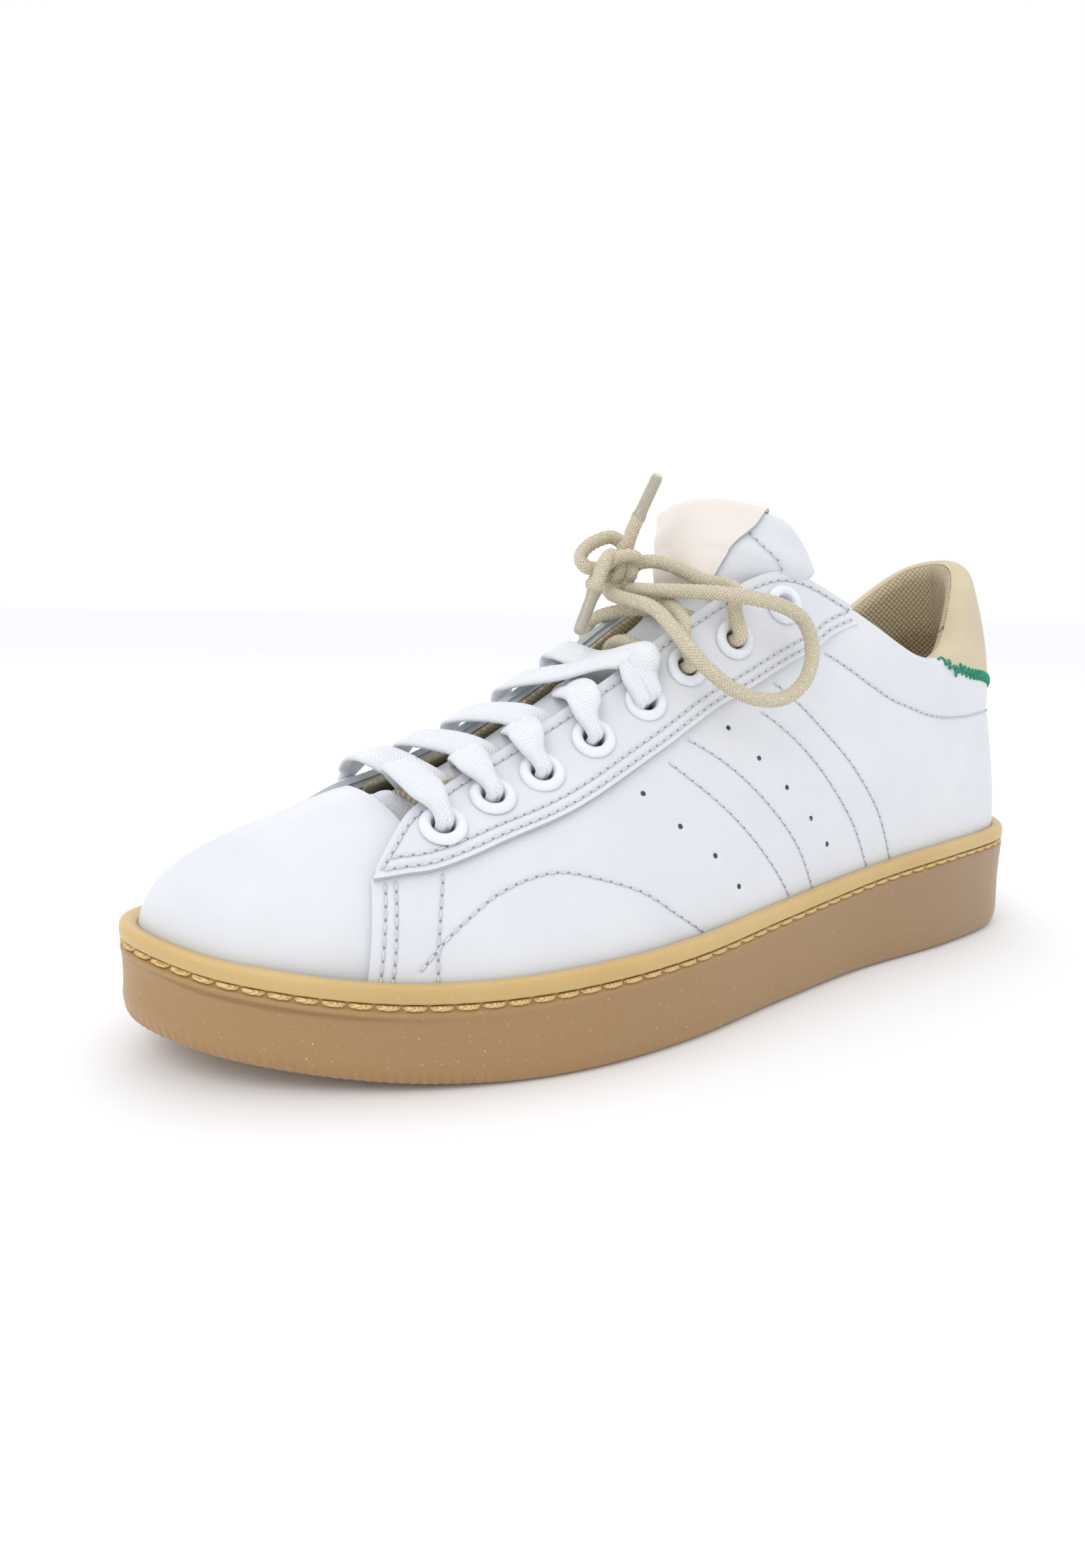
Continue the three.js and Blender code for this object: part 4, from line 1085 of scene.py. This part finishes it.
def wrapped(t, s, distance=QUARTER_FACE):
    """Outer skin: s goes up the wall from 0 to 1, then over the padded edge to 2."""
    t, s = np.broadcast_arrays(np.asarray(t, float), np.asarray(s, float))
    w = np.minimum(s, 1) * wall_top(t)
    wall = off(t, w, distance + bulge(t, w))
    centre, across, up = collar_edge(t, distance)
    angle = (np.clip(s - 1, 0, 1) * ROLL * rolled(t))[..., None]
    return np.where((s > 1)[..., None], centre + across * np.cos(angle) + up * np.sin(angle), wall)


def lined(t, s):
    """Lining on the foot's side: s goes up from 0 to 1, then over to meet the outer skin at 2."""
    t, s = np.broadcast_arrays(np.asarray(t, float), np.asarray(s, float))
    w = np.minimum(s, 1) * wall_top(t)
    wall = off(t, w, lining_face(t, w))
    centre, across, up = collar_edge(t, QUARTER_FACE)
    angle = (math.pi - np.clip(s - 1, 0, 1) * (math.pi - ROLL - 0.05) * rolled(t))[..., None]
    return np.where((s > 1)[..., None], centre + across * np.cos(angle) + up * np.sin(angle), wall)


def laid(tw, side, distance, step=0.4, surface=wrapped, in_s=False):
    """Path on a layer through (t, w) points, with its outward normals."""
    count = 24 * (len(tw) - 1) + 1
    p = spline(tw, np.linspace(0, len(tw) - 1, count))
    t = turn(p[:, 0], side)
    s = p[:, 1] if in_s else p[:, 1] / wall_top(t)
    e = 0.004
    at = surface(t, s, distance)
    n = unit(np.cross(surface(t + e, s, distance) - surface(t - e, s, distance),
                      surface(t, s + e, distance) - surface(t, s - e, distance)))
    out, _ = resample(np.column_stack([at, n]), step)
    return dict(points=out[:, :3], normals=unit(out[:, 3:6]))


def grid_normals(points):
    n = np.cross(np.gradient(points, axis=0), np.gradient(points, axis=1))
    size = np.linalg.norm(n, axis=-1, keepdims=True)
    return np.where(size > 1e-9, n / np.maximum(size, 1e-9), 0)


def press(points, lines, depth=0.24, width=0.7):
    """Points pulled in along rows of stitches, as the thread pulls the leather."""
    from mathutils.kdtree import KDTree
    spots = np.vstack([line["points"] for line in lines])
    tree = KDTree(len(spots))
    for i, p in enumerate(spots):
        tree.insert(p, i)
    tree.balance()
    flat = points.reshape(-1, 3)
    gap = np.array([tree.find(p)[2] for p in flat])
    dent = depth * np.exp(-(gap / width) ** 2)
    return points - grid_normals(points) * dent.reshape(points.shape[:2])[..., None]


def edge_path(points, inset, high=True, trim=1.5, step=0.4):
    """Path at an even distance in from the last or the first row of a grid."""
    grid = points[:, ::-1] if high else points
    normals = grid_normals(points)
    normals = normals[:, ::-1] if high else normals
    along = np.concatenate([np.zeros((len(grid), 1)), np.cumsum(
        np.linalg.norm(np.diff(grid, axis=1), axis=2), axis=1)], 1)
    rows = [[np.interp(inset, along[i], column[:, k]) for column in (grid[i], normals[i])
             for k in range(3)] for i in range(len(grid)) if along[i, -1] > inset + 0.5]
    out, s = resample(np.array(rows), step)
    keep = (s > trim) & (s < s[-1] - trim)
    return dict(points=out[keep, :3], normals=unit(out[keep, 3:6]))


def ruled(struts, at, rows):
    """Grid of surface parameters between paired points of a lower and an upper edge."""
    flat = np.array([[*low, *high] for low, high in struts], float)
    edge = spline(flat, at)
    f = np.asarray(rows, float)
    first = edge[:, None, 0] + (edge[:, None, 2] - edge[:, None, 0]) * f
    second = edge[:, None, 1] + (edge[:, None, 3] - edge[:, None, 1]) * f
    return first, second


def eyelet_holes(side, radius):
    return [(off(turn(t, side), w), last_normal(turn(t, side), w), radius) for t, w in EYELETS]


# ------------------------------------------------------------------ upper

VAMP_BACK = [(3.3, 0), (3.22, 0.4), (3.2, 0.75), (3.0, 1)]


def vamp_grid(columns, rows, shift=0.0, low=0.0):
    w = low + (1 - low) * np.linspace(0, 1, rows + 1)
    back = spline(VAMP_BACK, w * (len(VAMP_BACK) - 1))[:, 0] - shift
    back[-1] = RIDGE_END
    t = np.linspace(-1, 1, columns + 1)[:, None] * back[None, :]
    return t, np.broadcast_to(w, t.shape)


def add_vamp():
    t, w = vamp_grid(260, 90)
    obj = skin("vamp_leather", off(t, w, 0.0), 1.3, [WHITE, EDGE, EDGE])
    finish_piece(obj, "shoe", ("vamp",))
    t, w = vamp_grid(120, 40, 0.2, 0.04)
    obj = skin("vamp_lining_cloth", off(t, w, -2.75), 0.6, [MESH, MESH, MESH])
    finish_piece(obj, "shoe", ("vamp_lining",))


# Lower edge of the heel tab, where it meets the quarter: from the toe on one side, and s.
TAB_EDGE = [(10.35, 2.0), (10.7, 1.0), (11, 0.937), (11.5, 0.806), (12, 0.712), (12.8, 0.607),
            (14, 0.555)]
STRIPES = [
    [(6.06, 0.62), (6.21, 0.51), (6.47, 0.35), (6.69, 0.22), (6.92, 0.09), (7.0, 0.05)],
    [(6.36, 0.65), (6.62, 0.52), (6.92, 0.36), (7.18, 0.22), (7.33, 0.11), (7.4, 0.06)],
    [(7.26, 0.61), (7.6, 0.48), (7.97, 0.34), (8.27, 0.22), (8.46, 0.1), (8.54, 0.05)],
    [(7.52, 0.67), (7.97, 0.51), (8.42, 0.39), (8.76, 0.26), (8.95, 0.1), (9.0, 0.05)],
]
PERFORATIONS = [(5.68, 0.57), (5.83, 0.42), (6.06, 0.29), (6.24, 0.17),
                (6.84, 0.61), (7.03, 0.49), (7.26, 0.38), (7.52, 0.27), (7.75, 0.18)]
TOE_ARC = [(2.9, 0.13), (3.16, 0.23), (3.46, 0.31), (3.8, 0.38), (4.18, 0.42), (4.52, 0.42),
           (4.85, 0.36), (5.15, 0.28), (5.42, 0.17), (5.68, 0.08)]
THIRD_LINE = [(3.35, 0.47), (3.2, 0.34), (3.09, 0.2), (3.05, 0.08)]
FRONT_ROW = [(2.75, 0.45), (2.68, 0.31), (2.6, 0.13), (2.58, 0.07)]
EYESTAY = [
    ((2.64, 0.455), (2.7, 0.5)), ((2.95, 0.46), (2.95, 0.6)), ((3.32, 0.475), (3.4, 0.73)),
    ((4.1, 0.56), (4.33, 0.91)), ((4.72, 0.605), (5, 0.99)), ((5.6, 0.645), (5.7, 1)),
    ((6.6, 0.675), (6.6, 1)), ((7.44, 0.69), (7.44, 1)), ((8.07, 0.73), (8.07, 1)),
    ((8.5, 0.82), (8.45, 1)), ((8.92, 0.93), (8.85, 1)),
]


def tab_edge(t):
    x, y = zip(*TAB_EDGE)
    return np.interp(from_toe(t), x, y)


def quarter_grid(side):
    """Grid of the quarter: t and s, with the rows over the collar last."""
    front = [((2.45, 0), (2.62, 0.467)), ((2.8, 0), (2.93, 0.59)), ((3.3, 0), (3.4, 0.72)),
             ((4.2, 0), (4.33, 0.914)), ((5.0, 0), (5.0, 1.0))]
    back_t = np.arange(5.25, 13.98, 0.25)
    struts = front + [((t, 0), (t, 1.0)) for t in back_t] + [((13.97, 0), (13.97, 1.0))]
    at = np.concatenate([np.linspace(0, 4, 150, endpoint=False),
                         np.linspace(4, len(struts) - 1, 300)])
    wall, over = 90, 16
    t, s = ruled(struts, at, np.linspace(0, 1, wall + 1))
    limit = np.where(t >= 5, tab_edge(t) - 0.003, 2.0)
    s = s * np.minimum(limit, 1)
    top = limit[:, -1:]
    f = np.linspace(0, 1, over + 1)[1:]
    extra = np.where(top > 1, 1 + (top - 1) * f, s[:, -1:])
    extra = np.where(t[:, -1:] < 8.15, s[:, -1:], extra)
    t = np.hstack([t, np.repeat(t[:, -1:], over, axis=1)])
    return turn(t, side), np.hstack([s, extra])


def add_quarter(side, label):
    t, s = quarter_grid(side)
    if side < 0:
        t, s = t[::-1], s[::-1]
    points = wrapped(t, s)
    face = QUARTER_FACE
    second = [(a + 0.1, b) for a, b in FRONT_ROW]
    rows = [laid(line, side, face) for line in (*STRIPES, TOE_ARC, THIRD_LINE, FRONT_ROW, second)]
    collar = laid([p for p in COLLAR_LINE[1:-1]] + [(13.97, 0.436)], side, face)
    points = press(points, rows + [collar])
    dots = [laid([p, (p[0] + 0.01, p[1])], side, face, 0.05) for p in PERFORATIONS]
    points = press(points, dots, 0.5, 1.1)
    obj = skin(f"quarter_{label}_leather", points, 1.35, [WHITE, EDGE, EDGE],
               eyelet_holes(side, 3.4), merge=True)
    finish_piece(obj, "shoe", (f"quarter_{label}",))
    sew(f"quarter_{label}_stitches", rows + [collar], THREAD_WHITE)
    add_perforations(dots, label)


def add_perforations(dots, label):
    """Near-black cups at the bottom of the punched dimples: painted shade standing in for the holes, which
    are not cut through.
    """
    verts, faces = [], []
    n = 14
    for dot in dots:
        p, normal = dot["points"][0], dot["normals"][0]
        a = unit(np.cross(normal, [0, 0, 1]))
        b = np.cross(normal, a)
        base = len(verts)
        for radius, rise in ((0.0, -0.4), (0.3, -0.37), (0.52, -0.3), (0.66, -0.24)):
            for k in range(n):
                c = 2 * math.pi * k / n
                verts.append(p + normal * rise + (a * math.cos(c) + b * math.sin(c)) * radius)
        faces += (grid_faces(4, n, False, True) + base).tolist()
    obj = make_object(f"perforations_{label}", np.array(verts), faces, [PUNCHED_HOLE_SHADE])
    weld(obj)
    finish_piece(obj, "shoe")


def add_eyestay(side, label):
    t, w = ruled(EYESTAY, np.linspace(0, len(EYESTAY) - 1, 330), np.linspace(0, 1, 64))
    t = turn(t, side)
    if side < 0:
        t, w = t[::-1], w[::-1]
    points = off(t, w, EYESTAY_FACE + 0.25 * smooth(0.8, 1.0, w) * smooth(8.6, 8.9, from_toe(t)))
    rows = [edge_path(points, 2.6, True), edge_path(points, 1.5, False), edge_path(points, 4.0, False)]
    points = press(points, rows)
    obj = skin(f"eyestay_{label}_leather", points, 1.6, [WHITE, EDGE, EDGE],
               eyelet_holes(side, 3.4))
    finish_piece(obj, "shoe", (f"eyestay_{label}",))
    sew(f"eyestay_{label}_stitches", rows, THREAD_WHITE)


def add_linings():
    for label, side in (("lateral", 1), ("medial", -1)):
        t = turn(np.linspace(3.65, 11.5, 240), side)
        if side < 0:
            t = t[::-1]
        s = np.concatenate([np.linspace(0.05, 1, 70), np.linspace(1, 2, 14)[1:]])
        t, s = np.meshgrid(t, s, indexing="ij")
        s = np.where((from_toe(t) < 8.15) & (s > 1), 1.0, s)
        obj = skin(f"quarter_lining_{label}_cloth", lined(t, s), 1.0, [MESH, MESH, MESH],
                   eyelet_holes(side, 3.6), flip=True, bevel=0)
        finish_piece(obj, "shoe", (f"quarter_lining_{label}",))
    t = np.linspace(11.56, ROUND - 11.56, 200)
    s = np.concatenate([np.linspace(0.05, 1, 70), np.linspace(1, 2, 14)[1:]])
    t, s = np.meshgrid(t, s, indexing="ij")
    obj = skin("heel_lining_cloth", lined(t, s), 0.8, [MESH, MESH, MESH], flip=True, bevel=0)
    finish_piece(obj, "shoe", ("heel_lining",))


def add_heel_tab():
    t = np.linspace(10.36, ROUND - 10.36, 420)
    low = tab_edge(t)
    f, g = np.linspace(0, 1, 46), np.linspace(0, 1, 20)[1:]
    under = np.minimum(low, 1)[:, None]
    s_wall = np.where(low[:, None] > 1, low[:, None], under + (1 - under) * f)
    start = np.maximum(low, 1)[:, None]
    s = np.hstack([s_wall, start + (2 - start) * g])
    tt = np.repeat(t[:, None], s.shape[1], axis=1)
    points = wrapped(tt, s, QUARTER_FACE + 0.12)
    edge = [(a, b + 0.012 if b <= 1 else b) for a, b in TAB_EDGE]
    obj = skin("heel_tab_leather", points, 1.2, [BEIGE, EDGE, BEIGE], merge=True)
    finish_piece(obj, "shoe", ("heel_tab",))
    half = [(a, b) for a, b in edge if a > 10.4] + [(13.3, 0.577)]
    half = sorted([(10.5, 1.6)] + half)[:-1] + [(14, 0.557)]
    full = half + [(ROUND - a, b) for a, b in half[:-1]][::-1]
    line = laid(full, 1, QUARTER_FACE + 0.3, 0.3, in_s=True)
    add_zigzag("heel_zigzag", line)


def add_zigzag(name, line):
    """Zigzag stitching over the joint between the heel tab and the quarters."""
    points, normals = line["points"], line["normals"]
    s_all = np.concatenate([[0], np.cumsum(np.linalg.norm(np.diff(points, axis=0), axis=1))])
    count = int(s_all[-1] / 1.35)
    s = (np.arange(count) + 0.5) * s_all[-1] / count
    p, n, along, across = frames_at(points, normals, s_all, s)
    corners = p + across * np.where(np.arange(count) % 2, 1.5, -1.5)[:, None]
    mids = (corners[1:] + corners[:-1]) / 2 + (n[1:] + n[:-1]) / 2 * 0.34
    path = np.empty((2 * count - 1, 3))
    path[0::2] = corners - n * 0.12
    path[1::2] = mids
    smooth_path, _ = through(path, 0.25)
    obj = tube_mesh(name, smooth_path, 0.33, [THREAD_GREEN], 8)
    finish_piece(obj, "shoe")


# ------------------------------------------------------------------ tongue

# The padded top of the tongue spreads wider than the rows that carry the laces.
# The tongue as it looks: the root of TONGUE, and a free top that spreads wider.
TONGUE_SHAPE = TONGUE[:6] + [
    (129.5, 108.5, 108, 17, 97, 0, 0), (127.5, 116, 104, 24.5, 107.5, 0, 0.5),
    (124.5, 122.5, 104.5, 24.6, 113.5, 1, 2.5), (121, 128.6, 109.5, 25.5, 121, 3.4, 4.5),
]
CORNER_START = 0.7
CORNER_DROP = 1.5
FOAM_INSET = 1.25
LABEL_HALF_WIDTH = (5.3, 6, 7, 8, 9), (10.6, 10.2, 11.2, 14, 18)


def tongue_at(u, v):
    """Sewn root at u = 0, free top edge at u = TONGUE_TOP with rounded corners."""
    corner = np.maximum(np.abs(v) - CORNER_START, 0) / (1 - CORNER_START)
    u = u - CORNER_DROP * smooth(6.5, 9.0, u) * corner ** 3
    cx, cz, ex, ey, ez, shift, twist = np.moveaxis(spline(TONGUE_SHAPE, u), -1, 0)
    fall = np.abs(v) ** (6.0 - 4.0 * smooth(5.0, 7.0, u))
    # The free top opens out: its medial side comes forward to the bow, and its edge less so.
    edge = smooth(0.55, 1, -v)
    forward = (smooth(0, 0.8, -v) * smooth(5.4, 7.0, u) * (1 - 0.7 * smooth(7.6, 9.0, u))
               * (1 - 0.5 * edge))
    x = cx + (ex - cx) * fall - twist * v + 5.5 * forward
    y = ey * v - shift - 2 * forward + 3 * edge * smooth(5.5, 7, u)
    return np.stack([x, y, cz + (ez - cz) * fall], -1)


def tongue_normal(u, v):
    e = 1e-3
    uu = np.clip(u, e, TONGUE_TOP - 1e-6)
    up = tongue_at(np.minimum(uu + e, TONGUE_TOP - 1e-9), v) - tongue_at(uu - e, v)
    return unit(np.cross(tongue_at(uu, v + e) - tongue_at(uu, v - e), up))


def tongue_pad(u, v):
    return (0.9 + 3.3 * smooth(1.5, 5, u)) * (1 - 0.55 * v * v)


def rim(u, v):
    """1 over the middle of the tongue, falling to 0 round its side and top edges."""
    side = np.clip((1 - np.abs(v)) * 20 / 3.2, 0, 1)
    top = np.clip((TONGUE_TOP - u) * 9 / 3.4, 0, 1)
    round_off = lambda e: np.sqrt(np.maximum(1 - (1 - e) ** 2, 0))
    return round_off(side) * round_off(top)


def tongue_side(u, v, front, extra=0.0):
    """Front or back face of the padded tongue. Both meet in the middle of its rim."""
    depth = 3.6 + tongue_pad(u, v)
    middle = -depth / 2
    swell = np.where(front, depth / 2, -depth / 2) * rim(u, v)
    distance = middle + swell + np.where(front, extra, -extra)
    return tongue_at(u, v) + tongue_normal(u, v) * distance[..., None]


def tongue_core(u, v, front):
    """Face of the foam, a little under the leather and the lining."""
    depth = 3.6 + tongue_pad(u, v)
    swell = np.maximum(depth / 2 * rim(u, v) - FOAM_INSET, 0.05)
    return tongue_at(u, v) + tongue_normal(u, v) * (np.where(front, swell, -swell)
                                                    - depth / 2)[..., None]


def add_tongue_foam():
    u, v = np.meshgrid(np.linspace(0.35, TONGUE_TOP - 0.3, 110), np.linspace(-0.9, 0.9, 60),
                       indexing="ij")
    front, back = tongue_core(u, v, True), tongue_core(u, v, False)
    loops = np.concatenate([front, back[:, ::-1]], 1)
    rows, cols = loops.shape[:2]
    faces = [list(f) for f in grid_faces(rows, cols, wrap_cols=True)]
    for first in (0, (rows - 1) * cols):
        half = cols // 2
        strip = [[first + i, first + i + 1, first + cols - 2 - i, first + cols - 1 - i]
                 for i in range(half - 1)]
        faces += [f[::-1] for f in strip] if first else strip
    obj = make_object("tongue_foam_core", loops.reshape(-1, 3), faces, [FOAM])
    finish_piece(obj, "tongue", ("tongue_foam",))


def add_tongue():
    v = np.sin(np.linspace(-1, 1, 91) * math.pi / 2)
    u_top = TONGUE_TOP - 1.2 * (1 - np.sin(np.linspace(0, 1, 40) * math.pi / 2))
    u = np.concatenate([np.linspace(0, TONGUE_TOP - 1.2, 170)[:-1], u_top])
    uu, vv = np.meshgrid(u, v, indexing="ij")
    front = tongue_side(uu, vv, True)
    front = front[:, ::-1]
    normals = grid_normals(front)
    flip = (normals[60, 45] @ np.array([0.5, 0, 0.86])) < 0
    wings = [tongue_stitch(side) for side in (1, -1)]
    front = press(front, wings, 0.45, 1.3)
    obj = skin("tongue_leather", front, 1.0, [WHITE, EDGE, EDGE], flip=flip, bevel=0)
    finish_piece(obj, "tongue", ("tongue_front",))
    back = tongue_side(uu, vv, False)
    obj = skin("tongue_back_cloth", back, 0.9, [MESH, MESH, MESH], flip=flip, bevel=0)
    finish_piece(obj, "tongue", ("tongue_lining",))
    sew("tongue_stitches", wings, THREAD_WHITE, body="tongue")
    add_tongue_foam()
    add_label()


def tongue_stitch(side):
    """Row a finger's width inside the edge, up to the label."""
    line, _ = through([(5.5, 0.85), (6.2, 0.87), (6.7, 0.85), (7.1, 0.79), (7.5, 0.68), (7.9, 0.57)], 0.05)
    u, v = line[:, 0], side * line[:, 1]
    p = tongue_side(u, v, True)
    n = tongue_normal(u, v)
    out, _ = resample(np.column_stack([p, n]), 0.4)
    return dict(points=out[:, :3], normals=unit(out[:, 3:6]))


def add_label():
    """Soft leather label folded over the top of the tongue, with one row of stitches along its lower front
    edge.
    """
    across = np.linspace(-1.12, 1, 70)
    up = np.concatenate([np.linspace(5.3, 8.4, 90), TONGUE_TOP - 0.6 * (
        1 - np.sin(np.linspace(0, 1, 30) * math.pi / 2))[1:]])
    down = up[::-1][1:]
    down = down[down > 8.1]

    def face(u, front):
        half = np.interp(u, *LABEL_HALF_WIDTH)
        v = across * (half / spline(TONGUE_SHAPE, u)[:, 3])[:, None]
        return tongue_side(np.repeat(u[:, None], len(across), 1), v, front)

    front, back = face(up, True), face(down, False)
    body = np.concatenate([front, back])
    n = grid_normals(body)
    n *= 1 if (n[40, 35] @ np.array([0.6, 0, 0.8])) > 0 else -1
    outer = body + n * 1.35
    flip = (grid_normals(outer)[40, 35] @ np.array([0.6, 0, 0.8])) < 0
    lower = np.column_stack([outer[4], n[4]])
    lower, _ = resample(lower, 0.4)
    row = dict(points=lower[:, :3], normals=unit(lower[:, 3:6]))
    outer = press(outer, [row], 0.3, 0.8)
    obj = skin("tongue_label_leather", outer, 1.0, [NUDE, EDGE, EDGE], flip=flip)
    finish_piece(obj, "tongue", ("tongue_label",))
    sew("label_stitches", [row], THREAD_PINK, body="tongue")


# ------------------------------------------------------------------ eyelets and inner layers

def add_eyelets():
    profile = [(2.6, -0.65), (2.6, 1.5), (2.62, 3.6), (2.75, 4.15), (3.05, 4.5), (3.5, 4.66),
               (4.1, 4.62), (4.7, 4.42), (5.15, 4.05), (5.38, 3.65), (5.36, 3.4), (5.1, 3.32),
               (3.2, 3.3), (3.1, 3.0), (3.1, -0.45), (2.9, -0.65)]
    n = 48
    for label, side in (("lateral", 1), ("medial", -1)):
        for k, (t, w) in enumerate(EYELETS):
            centre, axis = off(turn(t, side), w), last_normal(turn(t, side), w)
            a = unit(np.cross(axis, [1, 0, 0]))
            b = np.cross(axis, a)
            angle = np.arange(n) / n * 2 * math.pi
            spokes = a * np.cos(angle)[:, None] + b * np.sin(angle)[:, None]
            verts = np.vstack([centre + axis * z + spokes * r for r, z in profile])
            obj = make_object(f"eyelet_ring_{label}_{k + 1}", verts,
                              grid_faces(len(profile), n, True, True), [EYELET_WHITE])
            weld(obj)
            finish_piece(obj, "shoe", (f"eyelet_{label}_{k + 1}",))


def dress_inner_layers():
    for node, mat in (("midsole_filler", FOAM), ("insole_board", BOARD), ("toe_puff", BOARD),
                      ("heel_counter", BOARD), ("collar_foam", FOAM)):
        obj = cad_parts[node]
        obj.data.materials.clear()
        obj.data.materials.append(mat)


# ------------------------------------------------------------------ room

def add_room():
    mat, nodes, links, shader = new_material("floor")
    place_at = coordinates(nodes, links, "Object", (1, 1, 1))
    links.new(ramp(nodes, links, noise(nodes, links, place_at, 3), (0.95, 0.95, 0.955),
                   (0.965, 0.965, 0.97)), shader.inputs["Base Color"])
    set_sockets(shader, Roughness=0.75, Specular_IOR_Level=0.2)
    bpy.ops.mesh.primitive_circle_add(vertices=96, radius=12, fill_type="NGON")
    floor = bpy.context.object
    floor.name = "floor"
    floor.data.materials.append(mat)
    world = bpy.data.worlds.new("studio")
    bpy.context.scene.world = world
    world.use_nodes = True
    world.node_tree.nodes["Background"].inputs["Color"].default_value = (0.96, 0.97, 1, 1)
    world.node_tree.nodes["Background"].inputs["Strength"].default_value = 1.04
    bpy.context.scene.view_settings.view_transform = "Standard"
    lights = (("key", (0.75, 0.35, 1.0), 2.2, 0.6), ("top", (-0.2, -0.2, 1.2), 1.4, 0.9),
              ("back", (-0.3, -1.1, 0.8), 0.9, 0.7))
    for name, where, power, size in lights:
        data = bpy.data.lights.new(name, "AREA")
        data.energy = power
        data.size = size
        lamp = bpy.data.objects.new(name, data)
        lamp.location = where
        lamp.rotation_euler = (Vector((0, 0, 0.05)) - Vector(where)).to_track_quat(
            "-Z", "Y").to_euler()
        bpy.context.scene.collection.objects.link(lamp)


# ------------------------------------------------------------------ assembly

add_cords()
add_outsole()
add_sidewall_stitches()
add_sockliner()
add_vamp()
for LABEL, SIDE in (("lateral", 1), ("medial", -1)):
    add_quarter(SIDE, LABEL)
    add_eyestay(SIDE, LABEL)
add_linings()
add_heel_tab()
add_tongue()
add_eyelets()
dress_inner_layers()
add_room()
